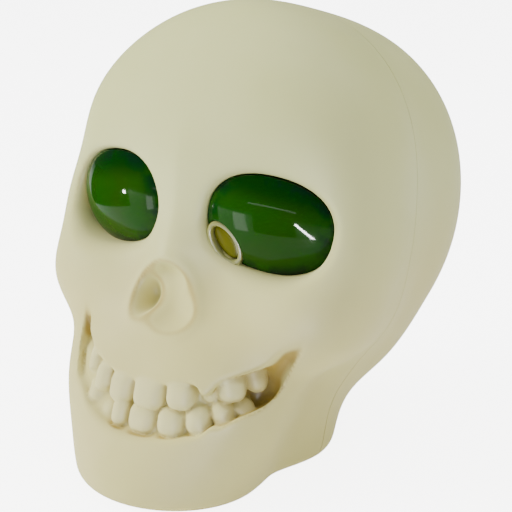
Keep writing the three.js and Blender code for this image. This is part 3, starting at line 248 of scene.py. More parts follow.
# The teeth are only worked out in this part of the skull: half its width, its back, its bottom and its top.
TEETH_ROOM, FAR_FROM_TEETH = (50, -15, 8, 60), 60.0


def arch_y(x, z):
    reach = max(1 - (abs(x) / ARCH_HALF) ** ARCH_POWER, 0.02) ** (1 / ARCH_POWER)
    return ARCH_BACK + (z - ARCH_MIDDLE) * ARCH_LEAN - ARCH_DEEP * reach


def tooth(p, left, right, low, high, proud):
    x, z = (left + right) / 2, (low + high) / 2
    back_step = arch_y(right, z) - arch_y(left, z)
    wide, tall = math.hypot(right - left, back_step), high - low
    q = p - np.array((x, (arch_y(left, z) + arch_y(right, z)) / 4 + arch_y(x, z) / 2 - proud, z))
    along = (q[:, 0] * (right - left) + q[:, 1] * back_step) / wide
    out = (q[:, 0] * back_step - q[:, 1] * (right - left)) / wide + ARCH_LEAN * q[:, 2]
    out = out + TOOTH_BULGE * (along ** 2 + 0.6 * q[:, 2] ** 2)
    rounding = min(TOOTH_ROUND, wide / 2 - 0.2)
    box = np.stack([
        np.abs(along) - (wide / 2 - rounding), np.abs(out + TOOTH_DEEP / 2) - (TOOTH_DEEP / 2 - rounding),
        np.abs(q[:, 2]) - (tall / 2 - rounding),
    ], 1)
    return np.sqrt((np.maximum(box, 0) ** 2).sum(1)) + np.minimum(box.max(1), 0) - rounding


def teeth(p):
    half, back, bottom, top = TEETH_ROOM
    best = np.full(len(p), FAR_FROM_TEETH)
    near = (np.abs(p[:, 0]) < half) & (p[:, 1] < back) & (p[:, 2] > bottom) & (p[:, 2] < top)
    d = best[near]
    for one in UPPER + LOWER:
        d = soft_min(d, tooth(p[near], *one), TOOTH_BLEND)
    best[near] = d
    return best


# %% [markdown]
# Both lips are parabolas across the face, with a few lifts and drops of their own. The far side of the mouth
# is narrower than the near one, so its distances from the middle are stretched.

# %% Mouth
FAR_STRETCH, LIP_FLATTEN, LIP_BLEND = 1.5, 0.0124, 2
LOW_LIP, LOW_LIP_CURVE, CORNER_SLOPE, CORNER_AT, CORNER_ROUND = 21.8, 0.0068, 1.38, 37, 2
LOW_RISE, LOW_RISE_FROM, LOW_RISE_TO = 1.9, 24, 33
HIGH_LIP, HIGH_LIP_CURVE, HIGH_RISE, HIGH_RISE_FROM, HIGH_RISE_TO = 36.5, 0.0062, 2.8, 36, 42
# Small points of bone: their middle across the face, how wide they reach and how high they are.
LOW_POINT, HIGH_NOTCH, HIGH_POINT = (26, 1.8, 1.4), (15, 4, 1.4), (23.4, 2.2, 3.4)
MOUTH_DEEP, FAR_SHALLOWER, CORNER_DEEPER = 3.4, 1.2, 5.5
CORNER_FROM, CORNER_TO, FAR_CORNER_LOW, FAR_CORNER_HIGH, SHALLOW_FROM, SHALLOW_TO = 16, 36, 39, 46, 8, 16
MOUTH_BACK_NEAR, MOUTH_BACK_FAR, MOUTH_FLOOR_BLEND, MOUTH_BACK_BLEND = -41, -49, 1.6, 5
NOSE_ROLL, NOSE_ROLL_WIDE, SOCKET_EDGE, NOSE_EDGE, MOUTH_EDGE, GUM, BOTTOM_EDGE = 1.1, 3, 3.5, 4, 1.8, 0.9, 5


def bone_point(x, middle, wide, high):
    return high * np.exp(-((x - middle) / wide) ** 2)


def mouth_band(p):
    x = np.where(p[:, 0] > 0, p[:, 0], -FAR_STRETCH * p[:, 0])
    low = LOW_LIP + LOW_LIP_CURVE * x * x + CORNER_SLOPE * soft_max(x - CORNER_AT, 0 * x, CORNER_ROUND)
    low = low + LOW_RISE * smooth_step(x, LOW_RISE_FROM, LOW_RISE_TO) + bone_point(p[:, 0], *LOW_POINT)
    high = HIGH_LIP + HIGH_LIP_CURVE * x * x + HIGH_RISE * smooth_step(x, HIGH_RISE_FROM, HIGH_RISE_TO)
    high = high + (bone_point(p[:, 0], *HIGH_NOTCH) - bone_point(p[:, 0], *HIGH_POINT))
    flatten = 1 / np.sqrt(1 + (LIP_FLATTEN * x) ** 2)
    return soft_max((low - p[:, 2]) * flatten, (p[:, 2] - high) * flatten, LIP_BLEND)


def corner_share(p):
    """From 0 at the front of the mouth to 1 at its corners, where it is deep."""
    near = smooth_step(p[:, 0], CORNER_FROM, CORNER_TO)
    far = smooth_step(-FAR_STRETCH * p[:, 0], CORNER_FROM, CORNER_TO)
    return np.maximum(near, far * smooth_step(p[:, 2], FAR_CORNER_LOW, FAR_CORNER_HIGH))


def mouth_cut(p, bare):
    shallower = FAR_SHALLOWER * smooth_step(-p[:, 0], SHALLOW_FROM, SHALLOW_TO)
    depth = MOUTH_DEEP - shallower + CORNER_DEEPER * corner_share(p)
    back = np.where(p[:, 0] > 0, MOUTH_BACK_NEAR, MOUTH_BACK_FAR)
    cut = soft_max(mouth_band(p), -(bare + depth), MOUTH_FLOOR_BLEND)
    return soft_max(cut, p[:, 1] - back, MOUTH_BACK_BLEND)


def carved(p):
    """The outside of the skull, and the distances of what was carved into it."""
    bare, nostril = bare_skull(p), nose(p)
    u, v, out = eye_axes(np.stack([np.abs(p[:, 0]), p[:, 1], p[:, 2]], 1))
    eye, cut = oval(u, v, *EYE_HALF, EYE_POWER), mouth_cut(p, bare)
    socket = np.maximum(eye, -(out + EYE_DEPTH))
    d = soft_max(bare - NOSE_ROLL * np.exp(-(nostril / NOSE_ROLL_WIDE) ** 2), -socket, SOCKET_EDGE)
    d = soft_max(d, -nostril, NOSE_EDGE)
    d = soft_max(d, -cut, MOUTH_EDGE)
    d = soft_min(d, teeth(p), GUM)
    return soft_max(d, -p[:, 2], BOTTOM_EDGE), bare, nostril, eye, out, cut


def skin(p):
    return carved(p)[0]


# %% [markdown]
# The ornament is hollow. The inside keeps a wall away from the outside, a collar stays round each eye to hold
# the lens, and the underside has a rounded opening for the base plate. Behind, three round wells lead to the
# screws that draw the shells together.

# %% Walls, base opening and screw wells
WALL, PIT_WALL, COLLAR, FLOOR, PLATE_FIT, PLATE_LAP = 2.3, 3.6, 4.2, 2.4, 0.3, 1
PLATE_HALF, PLATE_MIDDLE, PLATE_CORNER = (21.5, 35.0), (0.0, -25.0), 11.0
NOSE_FILLET, MOUTH_FILLET, FLOOR_FILLET = 3, 2, 3
SHELL_SCREWS = ("shell_screw_lower_left", "shell_screw_lower_right", "shell_screw_crown")
SCREW_HEAD_HIGH, WELL_RADIUS, WELL_WALL, SHANK_HOLE, BOSS_LONG, SHANK_SHORT = 2.0, 3.3, 1.6, 1.7, 21.0, 4


def plate_outline(p, grow):
    x = np.abs(p[:, 0] - PLATE_MIDDLE[0]) - (PLATE_HALF[0] - PLATE_CORNER)
    y = np.abs(p[:, 1] - PLATE_MIDDLE[1]) - (PLATE_HALF[1] - PLATE_CORNER)
    corner = np.sqrt(np.maximum(x, 0) ** 2 + np.maximum(y, 0) ** 2)
    return corner + np.minimum(np.maximum(x, y), 0) - PLATE_CORNER - grow


# Where each shell screw's head rests: x, z and the y of its seat.
wells = []
for node in SHELL_SCREWS:
    low, high = form_box(node)
    wells.append(((low[0] + high[0]) / 2, (low[2] + high[2]) / 2, high[1] - SCREW_HEAD_HIGH))
print("screw wells at", [tuple(round(part, 1) for part in spot) for spot in wells])


def with_wells(d, bare, p):
    """Adds a boss and a deep round well behind each shell screw."""
    for x, z, seat in wells:
        across = np.hypot(p[:, 0] - x, p[:, 2] - z)
        boss = np.maximum(np.maximum(across - WELL_RADIUS - WELL_WALL, bare), seat - BOSS_LONG - p[:, 1])
        well = np.maximum(across - WELL_RADIUS, seat - p[:, 1])
        shank = np.maximum(across - SHANK_HOLE, seat - BOSS_LONG + SHANK_SHORT - p[:, 1])
        d = np.maximum(np.minimum(d, boss), -np.minimum(well, shank))
    return d


def shell(p):
    outside, bare, nostril, eye, out, cut = carved(p)
    hollow = soft_max(bare + WALL, PIT_WALL - nostril, NOSE_FILLET)
    hollow = soft_max(soft_max(hollow, PIT_WALL - cut, MOUTH_FILLET), FLOOR - p[:, 2], FLOOR_FILLET)
    hollow = np.maximum(hollow, -np.maximum(eye - COLLAR, -(out + EYE_DEPTH)))
    hollow = np.minimum(hollow, np.maximum(eye, -(out + 2 * EYE_DEPTH)))
    hollow = np.minimum(hollow, np.maximum(plate_outline(p, PLATE_FIT), p[:, 2] - FLOOR - PLATE_LAP))
    return with_wells(np.maximum(outside, -hollow), bare, p)


# %% [markdown]
# A distance becomes a mesh on a grid of small cells. Every cell that the skin crosses gets one point, the
# mean of the places where its edges cross, and every crossed edge joins the four cells round it into a face.
# The grid is close where the teeth are and wide over the smooth head, and only blocks near the skin are
# worked out.

# %% From distance to mesh
# Lines to a block, and how near the skin a block is worked out: a share of its size and a little more.
BLOCK, NEAR_SHARE, NEAR_MORE = 4, 1.5, 1


def grid_lines(low, high, steps):
    """Lines from low to high; steps is a list of (up to, spacing)."""
    lines = [low]
    while lines[-1] < high:
        lines.append(lines[-1] + next(step for limit, step in steps if lines[-1] < limit))
    while (len(lines) - 1) % BLOCK:
        lines.append(lines[-1] + steps[-1][1])
    return np.array(lines)


def grid_points(axes, mask):
    return np.stack([lines[at] for lines, at in zip(axes, np.nonzero(mask))], 1)


def field_on_grid(distance, axes):
    """The distance at the grid's points, exact near the skin and one value a block elsewhere."""
    middles = [(a[:-1:BLOCK] + a[BLOCK::BLOCK]) / 2 for a in axes]
    reach = [np.diff(a[::BLOCK]).max() / 2 for a in axes]
    blocks = [len(m) for m in middles]
    field = distance(grid_points(middles, np.ones(blocks, bool))).reshape(blocks)
    mask = np.abs(field) < NEAR_SHARE * math.hypot(*reach) + NEAR_MORE
    for axis in range(3):
        field = np.repeat(field, BLOCK, axis)
        field = np.concatenate([field, np.take(field, [-1], axis)], axis)
        mask = np.repeat(mask, BLOCK, axis)
        first, last = np.take(mask, [0], axis), np.take(mask, [-1], axis)
        mask = np.concatenate([mask, last], axis) | np.concatenate([first, mask], axis)
    field[mask] = distance(grid_points(axes, mask))
    return field


def surface_net(distance, axes):
    """Points and four-cornered faces of the zero skin."""
    field = field_on_grid(distance, axes)
    inside = field < 0
    shape = np.array(field.shape) - 1
    cells, spots, corners = [], [], []
    for axis in range(3):
        low, high = [slice(None)] * 3, [slice(None)] * 3
        low[axis], high[axis] = slice(0, -1), slice(1, None)
        at = np.argwhere(inside[tuple(low)] != inside[tuple(high)])
        b, c = (axis + 1) % 3, (axis + 2) % 3
        at = at[(at[:, b] > 0) & (at[:, c] > 0) & (at[:, b] < shape[b]) & (at[:, c] < shape[c])]
        far_end = at.copy()
        far_end[:, axis] += 1
        d0, d1 = field[tuple(at.T)], field[tuple(far_end.T)]
        spot = np.stack([axes[n][at[:, n]] for n in range(3)], 1)
        spot[:, axis] += d0 / (d0 - d1) * (axes[axis][far_end[:, axis]] - axes[axis][at[:, axis]])
        ring = []
        for step_b, step_c in ((-1, -1), (0, -1), (0, 0), (-1, 0)):
            cell = at.copy()
            cell[:, b] += step_b
            cell[:, c] += step_c
            ring.append(np.ravel_multi_index(tuple(cell.T), shape))
        ring = np.stack(ring, 1)
        turned_over = ~inside[tuple(at.T)]
        ring[turned_over] = ring[turned_over][:, ::-1]
        corners.append(ring)
        cells.append(ring.ravel())
        spots.append(np.repeat(spot, 4, 0))
    names, number = np.unique(np.concatenate(cells), return_inverse=True)
    spots, count = np.concatenate(spots), np.bincount(number)
    points = np.stack([np.bincount(number, spots[:, n]) / count for n in range(3)], 1)
    return points, np.searchsorted(names, np.concatenate(corners))


def slope_of(distance, points, step=0.05):
    near = distance(points)
    return near, np.stack([distance(points + step * np.eye(3)[n]) - near for n in range(3)], 1) / step


def settle(distance, points, rounds=2, most=0.5):
    """Moves points along the slope onto the skin."""
    for _ in range(rounds):
        near, slope = slope_of(distance, points)
        move = -near[:, None] * slope / np.maximum((slope ** 2).sum(1), 0.25)[:, None]
        size = np.sqrt((move ** 2).sum(1)) + TINY
        points = points + move * np.minimum(1, most / size)[:, None]
    return points


# %% [markdown]
# A mesh is written straight from the arrays. Its points are already where the piece stands, so the object
# itself stays at the origin, unturned and unscaled. Every finished piece then says which solids it stands
# for.

# %% Arrays to Blender objects
def linked(name, data):
    made = bpy.data.objects.new(name, data)
    bpy.context.scene.collection.objects.link(made)
    return made


def mesh_object(name, points, faces):
    mesh = bpy.data.meshes.new(name)
    mesh.from_pydata(to_frame(points).tolist(), [], [list(map(int, face)) for face in faces])
    mesh.validate()
    mesh.shade_smooth()
    return linked(name, mesh)


def points_of(piece):
    co = np.zeros(len(piece.data.vertices) * 3)
    piece.data.vertices.foreach_get("co", co)
    return co.reshape(-1, 3) * 1000 - (0, shift_y, 0)


def add_values(piece, name, values):
    attribute = piece.data.attributes.new(name, "FLOAT", "POINT")
    attribute.data.foreach_set("value", np.asarray(values, np.float32))


def stands_for(piece, nodes):
    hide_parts(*nodes)
    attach(piece, "skull")


# %% [markdown]
# The two shells are cut from one form by the leaning plane of the seam. The cut leaves two loops, the outside
# and the inside of the wall, and the ring between them is filled so that each shell is closed. A hair of a
# gap stays between the shells, as on the real one.

# %% Parting the shells
SEAM_PLACE, SEAM_LEAN, SEAM_GAP, SHELL_SHARP = (0.0, 2.0, 60.0), math.radians(12.0), 0.3, math.radians(50)
FORM_HALF, FORM_LOW, FORM_HIGH, FACE_SPAN, REAR_SPAN = 62, -2, 145, (-76, 24), (-18, 78)
WIDE_CELL, END = 1.25, 999


def part_at_seam(piece, keep_front):
    normal = Vector((0, math.cos(SEAM_LEAN), -math.sin(SEAM_LEAN)))
    place = Vector(to_frame(SEAM_PLACE)[0]) + normal * (0 if keep_front else SEAM_GAP / 1000)
    work = bmesh.new()
    work.from_mesh(piece.data)
    cut = bmesh.ops.bisect_plane(
        work, geom=work.verts[:] + work.edges[:] + work.faces[:], plane_co=place, plane_no=normal,
        clear_outer=keep_front, clear_inner=not keep_front,
    )
    edges = [e for e in cut["geom_cut"] if isinstance(e, bmesh.types.BMEdge)]
    facing = normal if keep_front else -normal
    filled = bmesh.ops.triangle_fill(work, edges=edges, normal=facing, use_beauty=True)
    new = [f for f in filled["geom"] if isinstance(f, bmesh.types.BMFace)]
    for face in new:
        face.smooth = False
    open_edges = sum(1 for e in work.edges if len(e.link_faces) != 2)
    work.to_mesh(piece.data)
    work.free()
    print(piece.name, len(piece.data.polygons), "faces,", len(new), "on the seam,", open_edges, "open edges")


def shell_piece(name, node, axes, keep_front):
    points, faces = surface_net(shell, axes)
    piece = mesh_object(name, settle(shell, points), faces)
    part_at_seam(piece, keep_front)
    piece.data.set_sharp_from_angle(angle=SHELL_SHARP)
    stands_for(piece, [node])
    return piece


face_piece = shell_piece("skull_face", "face_shell", (
    grid_lines(-FORM_HALF, FORM_HALF, [(-45, WIDE_CELL), (44.5, 0.84), (END, WIDE_CELL)]),
    grid_lines(*FACE_SPAN, [(-28, 0.82), (END, WIDE_CELL)]),
    grid_lines(FORM_LOW, FORM_HIGH, [(14, 1.1), (50, 0.76), (105, 1.05), (END, 1.3)]),
), True)
rear_piece = shell_piece("skull_back", "rear_shell", (
    grid_lines(-FORM_HALF, FORM_HALF, [(END, WIDE_CELL)]), grid_lines(*REAR_SPAN, [(END, WIDE_CELL)]),
    grid_lines(FORM_LOW, FORM_HIGH, [(END, WIDE_CELL)]),
), False)

# %% [markdown]
# Shade gathers where a surface folds inwards, and here it is painted into the colour. How closed the form is
# near each point is measured by walking a little way out and asking the distance there. It is kept as a value
# on the points, and so is what is a tooth.

# %% Crevices and teeth as values on the points
SHORT_WALK, LONG_WALK, SHORT_SHARE, LONG_SHARE, MOUTH_EASE, DEEP_SHARE = 1.2, 3.0, 0.5, 0.9, 0.4, 0.8


def closed_in(points, near, slope, reach):
    """From 0 on open skin to 1 where walking out leads to another wall."""
    return np.clip(1 - (skin(points + reach * slope) - near) / reach, 0, 1)


def crevices(points):
    near, slope = slope_of(skin, points)
    slope /= np.sqrt((slope ** 2).sum(1))[:, None] + TINY
    bare = bare_skull(points)
    in_mouth = 1 - smooth_step(mouth_cut(points, bare), 0.5, 2.0)
    corner = smooth_step(corner_share(points), 0.2, 0.9)
    narrow = SHORT_SHARE * closed_in(points, near, slope, SHORT_WALK)
    narrow = narrow + LONG_SHARE * closed_in(points, near, slope, LONG_WALK)
    # The mouth's deep hollows and corners get extra painted shade.
    deep = in_mouth * smooth_step(-bare, 0.4, 2.8) * (0.2 + 0.8 * corner)
    return np.clip(narrow * (1 - MOUTH_EASE * in_mouth * (1 - corner)) + DEEP_SHARE * deep, 0, 1)


for piece in (face_piece, rear_piece):
    places = points_of(piece)
    add_values(piece, "crevice", crevices(places))
    add_values(piece, "tooth", smooth_step(-teeth(places), -1.0, 0.1))

# %% [markdown]
# Behind each eye opening sits a thin tinted dome with a skirt, a flat flange and two screw ears. It is drawn
# as rings in the eye's axes: over the dome, down the skirt, out along the flange and back up the inside, so
# the wall is closed all round. A lathe could not make it because the outline is a squared oval, but rings
# follow any outline.

# %% Rings in the eye's axes
FIT, EAR_HEIGHT, EAR_RADIUS, EYE_SCREW_HOLE, SHARP = 0.3, EYE_HALF[1] + 4.8, 3.4, 1.5, math.radians(40)


def round_angles(count):
    return np.linspace(0, 2 * math.pi, count, endpoint=False)


def eye_outline(grow, count):
    c, s = np.cos(round_angles(count)), np.sin(round_angles(count))
    half_u, half_v = EYE_HALF[0] + grow, EYE_HALF[1] + grow
    reach = ((np.abs(c) / half_u) ** EYE_POWER + (np.abs(s) / half_v) ** EYE_POWER) ** (-1 / EYE_POWER)
    return reach * c, reach * s


def ring_body(rows, first_tip, last_tip):
    """Closed body from rings with a point at each end, in (u, v, out)."""
    count = len(rows[0][0])
    points = [np.stack([u, v, np.broadcast_to(out, u.shape)], 1) for u, v, out in rows]
    points = np.concatenate(points + [np.array([first_tip, last_tip], float)])
    total = len(rows) * count
    faces = []
    for i in range(count):
        n = (i + 1) % count
        faces += [(total, i, n), (total + 1, total - count + n, total - count + i)]
        for row in range(0, total - count, count):
            faces.append((row + i, row + count + i, row + count + n, row + n))
    return points, faces


def ear_plate(way, low, high, count=48):
    """A screw ear: a plate round its hole that reaches back to the flange."""
    c, s = np.cos(round_angles(count)), np.sin(round_angles(count))
    back = EAR_RADIUS / np.maximum(np.abs(c), 1e-6)
    back = np.minimum(back, (EAR_HEIGHT - EYE_HALF[1]) / np.maximum(-s, 1e-6))
    reach, hole = np.where(s < 0, back, EAR_RADIUS), np.full(count, EYE_SCREW_HOLE)
    points = np.concatenate([
        np.stack([r * c, way * (EAR_HEIGHT + r * s), np.full(count, out)], 1)
        for r, out in ((reach, high), (reach, low), (hole, low), (hole, high))
    ])
    faces = []
    for ring in range(4):
        for i in range(count):
            n, after = (i + 1) % count, (ring + 1) % 4
            face = (ring * count + i, after * count + i, after * count + n, ring * count + n)
            faces.append(face if way > 0 else face[::-1])
    return points, faces


def eye_piece(name, parts, side, node=None):
    """Bodies drawn in the eye's axes become one object at the left (1) or right (-1) eye."""
    points, faces = np.concatenate([body for body, _ in parts]), []
    start = 0
    for body, body_faces in parts:
        faces += [tuple(start + i for i in face)[::side] for face in body_faces]
        start += len(body)
    piece = mesh_object(name, from_eye_axes(points[:, 0], points[:, 1], points[:, 2], side), faces)
    piece.data.set_sharp_from_angle(angle=SHARP)
    if node:
        stands_for(piece, [node])
    print(name, len(faces), "faces")
    return piece


# %% Lens body
LENS_SINK, LENS_SPREAD, LENS_BULGE, LENS_THICK, LENS_GAP, FLANGE = 7.5, 2.7, 9.5, 1.6, 0.15, 2
LENS_BACK = -EYE_DEPTH - FIT
LENS_LOW = LENS_BACK - LENS_THICK


def dome_row(share, outline, inset):
    """A ring of the dome: a share of the outline, lifted by how far in it lies."""
    u, v = share * outline[0], share * outline[1]
    wide, high = EYE_HALF[0] + LENS_SPREAD - inset, EYE_HALF[1] + LENS_SPREAD - inset
    lift = np.maximum(1 - (u / wide) ** 2 - (v / high) ** 2, 0.01)
    return u, v, -LENS_SINK + (LENS_BULGE - inset) * np.sqrt(lift)


def lens_parts(rings=36, count=144):
    edge, inner = eye_outline(-LENS_GAP, count), eye_outline(-LENS_GAP - LENS_THICK, count)
    flange = eye_outline(FLANGE, count)
    shares = np.sin(np.linspace(0, math.pi / 2, rings + 1)[1:])
    rows = [dome_row(share, edge, 0) for share in shares]
    rows += [(*edge, LENS_BACK), (*flange, LENS_BACK), (*flange, LENS_LOW), (*inner, LENS_LOW)]
    rows += [dome_row(share, inner, LENS_THICK) for share in shares[::-2]]
    tip = LENS_BULGE - LENS_SINK
    body = ring_body(rows, (0, 0, tip), (0, 0, tip - LENS_THICK))
    return [body, ear_plate(1, LENS_LOW, LENS_BACK), ear_plate(-1, LENS_LOW, LENS_BACK)]


lens_left = eye_piece("lens_left", lens_parts(), 1, "eye_lens_left")
lens_right = eye_piece("lens_right", lens_parts(), -1, "eye_lens_right")

# %% [markdown]
# The left eye has a small oval post in its lower inner corner, with a pale rounded band round an olive
# window. The lens leaves room for it. The room is cut with a Boolean modifier, which suits a single notch in
# a finished body.

# %% Post, window and the notch for them
POST_PLACE, POST_TURN, POST_HALF, POST_BAND = (-12.4, -8.7), math.radians(135.0), (7.4, 4.5), 1.6
POST_TOP, POST_FLOOR, NOTCH_TOP, NOTCH_LOW = -0.6, -4.2, 6.0, -12.0
WINDOW_LOW, WINDOW_GROW = POST_FLOOR + FIT, -POST_BAND - FIT
WINDOW_THICK, WINDOW_DOME, WINDOW_EDGE, WINDOW_HIGH = 1.2, 0.4, 1.2, 1.7


def post_row(grow, out, count=96):
    a, b = (half + grow for half in POST_HALF)
    a, b = a * np.cos(round_angles(count)), b * np.sin(round_angles(count))
    c, s = math.cos(POST_TURN), math.sin(POST_TURN)
    return POST_PLACE[0] + a * c - b * s, POST_PLACE[1] + a * s + b * c, out


def post_body(rows, low, high):
    return [ring_body(rows[::-1], (*POST_PLACE, high), (*POST_PLACE, low))]


def plain_mesh(piece, modifier):
    """The piece's shape with its modifier applied; the modifier is taken away."""
    made = bpy.data.meshes.new_from_object(piece.evaluated_get(bpy.context.evaluated_depsgraph_get()))
    piece.modifiers.remove(modifier)
    made.set_sharp_from_angle(angle=SHARP)
    piece.data = made


band_rows = [post_row(0, -EYE_DEPTH)]
for roll in math.pi * np.linspace(0, 1, 9):
    grow = -POST_BAND / 2 * (1 - math.cos(roll))
    band_rows.append(post_row(grow, POST_TOP - POST_BAND / 2 * (1 - math.sin(roll))))
band_rows.append(post_row(-POST_BAND, POST_FLOOR))
eye_ring = eye_piece("eye_ring", post_body(band_rows, -EYE_DEPTH, POST_FLOOR), 1, "face_shell")
window_rows = [post_row(WINDOW_GROW, WINDOW_LOW + high) for high in (0, WINDOW_THICK)]
for inward in (0.25, 0.7, WINDOW_EDGE):
    lift = WINDOW_THICK + WINDOW_DOME * math.sqrt(inward / WINDOW_EDGE)
    window_rows.append(post_row(WINDOW_GROW - inward, WINDOW_LOW + lift))
window_body = post_body(window_rows, WINDOW_LOW, WINDOW_LOW + WINDOW_HIGH)
olive_window = eye_piece("olive_window", window_body, 1, "eye_window")
notch_rows = [post_row(FIT, NOTCH_LOW), post_row(FIT, NOTCH_TOP)]
cutter = eye_piece("notch", post_body(notch_rows, NOTCH_LOW, NOTCH_TOP), 1)
change = lens_left.modifiers.new("notch", "BOOLEAN")
change.operation, change.solver, change.object = "DIFFERENCE", "EXACT", cutter
plain_mesh(lens_left, change)
bpy.data.objects.remove(cutter)
print("lens_left cut,", len(lens_left.data.polygons), "faces")

# %% [markdown]
# The cups are white cones that throw the light of a small clear lamp at the lens, and the lamp sits in the
# neck. A lamp and a cell are both lathe work: a profile is turned round an axis. One helper turns any
# profile.

# %% Lamps and cells turned from profiles
CUP_FLANGE, CUP_DEEP, CUP_NECK, LAMP_RIM, LAMP_RADIUS, LAMP_BARREL = 1.5, 17, 5, 1, 2.5, 5.9
CELL_RADIUS, CELL_LONG, CELL_SHARP = 5.2, 44.5, math.radians(50)


def turned(profile, count):
    """Turns (radius, height) pairs round the third axis; the first and last radius are zero."""
    c, s = np.cos(round_angles(count)), np.sin(round_angles(count))
    rows = [(r * c, r * s, h) for r, h in profile[1:-1]]
    return ring_body(rows[::-1], (0, 0, profile[-1][1]), (0, 0, profile[0][1]))


LAMP_BACK = LENS_LOW - FIT - CUP_FLANGE - CUP_DEEP - CUP_NECK - FIT - LAMP_RIM
lamp_profile = [(0, 0), (2.8, 0), (3, 0.2), (3, 0.8), (2.8, LAMP_RIM), (LAMP_RADIUS, LAMP_RIM)]
for angle in np.linspace(0, 1.45, 12):
    lamp_profile.append((LAMP_RADIUS * math.cos(angle), LAMP_BARREL + LAMP_RADIUS * math.sin(angle)))
lamp_profile.append((0, LAMP_BARREL + LAMP_RADIUS))
lamp_body = turned([(radius, LAMP_BACK + high) for radius, high in lamp_profile], 48)
lamps = [eye_piece("lamp_" + end, [lamp_body], side, "eye_lamp_" + end)
         for end, side in (("left", 1), ("right", -1))]
cell_profile = [
    (0, 0), (2.9, 0), (3.1, 0.12), (3.2, 0.35), (4.5, 0.35), (4.7, 0.2), (5.0, 0.22), (CELL_RADIUS, 0.5),
    (CELL_RADIUS, 0.9), (5.16, 1.0), (5.16, 42.2), (CELL_RADIUS, 42.3), (CELL_RADIUS, 42.8), (5.0, 43.2),
    (4.6, 43.28), (4.4, 43.05), (2.3, 43.05), (2.1, 43.3), (1.9, 43.6), (1.85, 44.3), (1.6, CELL_LONG),
    (0, CELL_LONG),
]
cell_shape, cell_faces = turned(cell_profile, 64)
cells = []
for end, way in (("a", 1), ("b", -1)):
    low, high = form_box("cell_" + end)
    x, y, z = (low + high) / 2
    along = y + way * (cell_shape[:, 2] - CELL_LONG / 2)
    places = np.stack([x + way * cell_shape[:, 0], along, z + cell_shape[:, 1]], 1)
    piece = mesh_object("aaa_cell_" + end, places, [face[::-1] for face in cell_faces])
    piece.data.set_sharp_from_angle(angle=CELL_SHARP)
    add_values(piece, "along", cell_shape[:, 2] / CELL_LONG)
    add_values(piece, "across", np.hypot(cell_shape[:, 0], cell_shape[:, 1]) / CELL_RADIUS)
    stands_for(piece, ["cell_" + end])
    cells.append(piece)
    print(piece.name, "nub towards", "+Y" if way > 0 else "-Y")

# %% [markdown]
# Screws, wires and springs repeat or follow a path, which is what Geometry Nodes are for. A small mesh holds
# only the places; a tree with named sizes makes the real shape there. The result is turned into a plain mesh,
# because the exported object keeps neither modifiers nor instances.

# %% Helpers for node trees
def put(tree, kind, sockets=(), **settings):
    """Adds a node; sockets are pairs of an input and a value or a link."""
    made = tree.nodes.new(kind)
    for name, value in settings.items():
        setattr(made, name, value)
    for name, value in sockets:
        socket = made.inputs[name]
        if isinstance(value, bpy.types.NodeSocket):
            tree.links.new(value, socket)
        else:
            socket.default_value = (*value, 1) if socket.type == "RGBA" else value
    return made


def calc(tree, operation, *values):
    return put(tree, "ShaderNodeMath", enumerate(values), operation=operation).outputs[0]


def shape_tree(name, sizes):
    """A Geometry Nodes tree with a geometry, named sizes and a material going in."""
    tree = bpy.data.node_groups.new(name, "GeometryNodeTree")
    tree.interface.new_socket("Geometry", in_out="INPUT", socket_type="NodeSocketGeometry")
    for label, value in sizes.items():
        kind = "NodeSocketInt" if isinstance(value, int) else "NodeSocketFloat"
        tree.interface.new_socket(label, in_out="INPUT", socket_type=kind).default_value = value
    tree.interface.new_socket("Material", in_out="INPUT", socket_type="NodeSocketMaterial")
    tree.interface.new_socket("Geometry", in_out="OUTPUT", socket_type="NodeSocketGeometry")
    return tree, tree.nodes.new("NodeGroupInput").outputs, tree.nodes.new("NodeGroupOutput")


def finish_tree(tree, geometry, given, end):
    whole = put(tree, "GeometryNodeRealizeInstances", [("Geometry", geometry)]).outputs[0]
    dressed = put(tree, "GeometryNodeSetMaterial", [("Geometry", whole), ("Material", given["Material"])])
    tree.links.new(dressed.outputs[0], end.inputs[0])
    return tree


def swept(tree, curve, corners, radius):
    """A round section carried along a curve, with closed ends."""
    section = put(tree, "GeometryNodeCurvePrimitiveCircle", [("Resolution", corners), ("Radius", radius)])
    return put(tree, "GeometryNodeCurveToMesh", [
        ("Curve", curve), ("Profile Curve", section.outputs["Curve"]), ("Fill Caps", True),
    ]).outputs[0]


def spiral(tree, resolution, turns, start, end, height):
    return put(tree, "GeometryNodeCurveSpiral", [
        ("Resolution", resolution), ("Rotations", turns), ("Start Radius", start), ("End Radius", end),
        ("Height", height),
    ]).outputs[0]


def set_out(tree, body, given, end):
    """Stands a body at every place, with its Z along the place's outward direction."""
    way = put(tree, "GeometryNodeInputNamedAttribute", [("Name", "outward")], data_type="FLOAT_VECTOR")
    turn_to = put(tree, "FunctionNodeAlignRotationToVector", [("Vector", way.outputs["Attribute"])], axis="Z")
    spots = put(tree, "GeometryNodeMeshToPoints", [("Mesh", given["Geometry"])]).outputs[0]
    stood = put(tree, "GeometryNodeInstanceOnPoints", [
        ("Points", spots), ("Instance", body), ("Rotation", turn_to.outputs[0]),
    ])
    return finish_tree(tree, stood.outputs[0], given, end)


def grown(name, tree, places, edges, values, nodes, outward=None):
    """Runs a tree on a mesh of places and leaves a plain mesh object."""
    seed = bpy.data.meshes.new(name)
    seed.from_pydata(to_frame(places).tolist(), edges, [])
    if outward is not None:
        ways = seed.attributes.new("outward", "FLOAT_VECTOR", "POINT")
        ways.data.foreach_set("vector", np.asarray(outward, np.float32).ravel())
    piece = linked(name, seed)
    change = piece.modifiers.new("shape", "NODES")
    change.node_group = tree
    for item in tree.interface.items_tree:
        if item.in_out == "INPUT" and item.name in values:
            change[item.identifier] = values[item.name]
    plain_mesh(piece, change)
    stands_for(piece, nodes)
    print(name, len(places), "places,", len(piece.data.polygons), "faces")


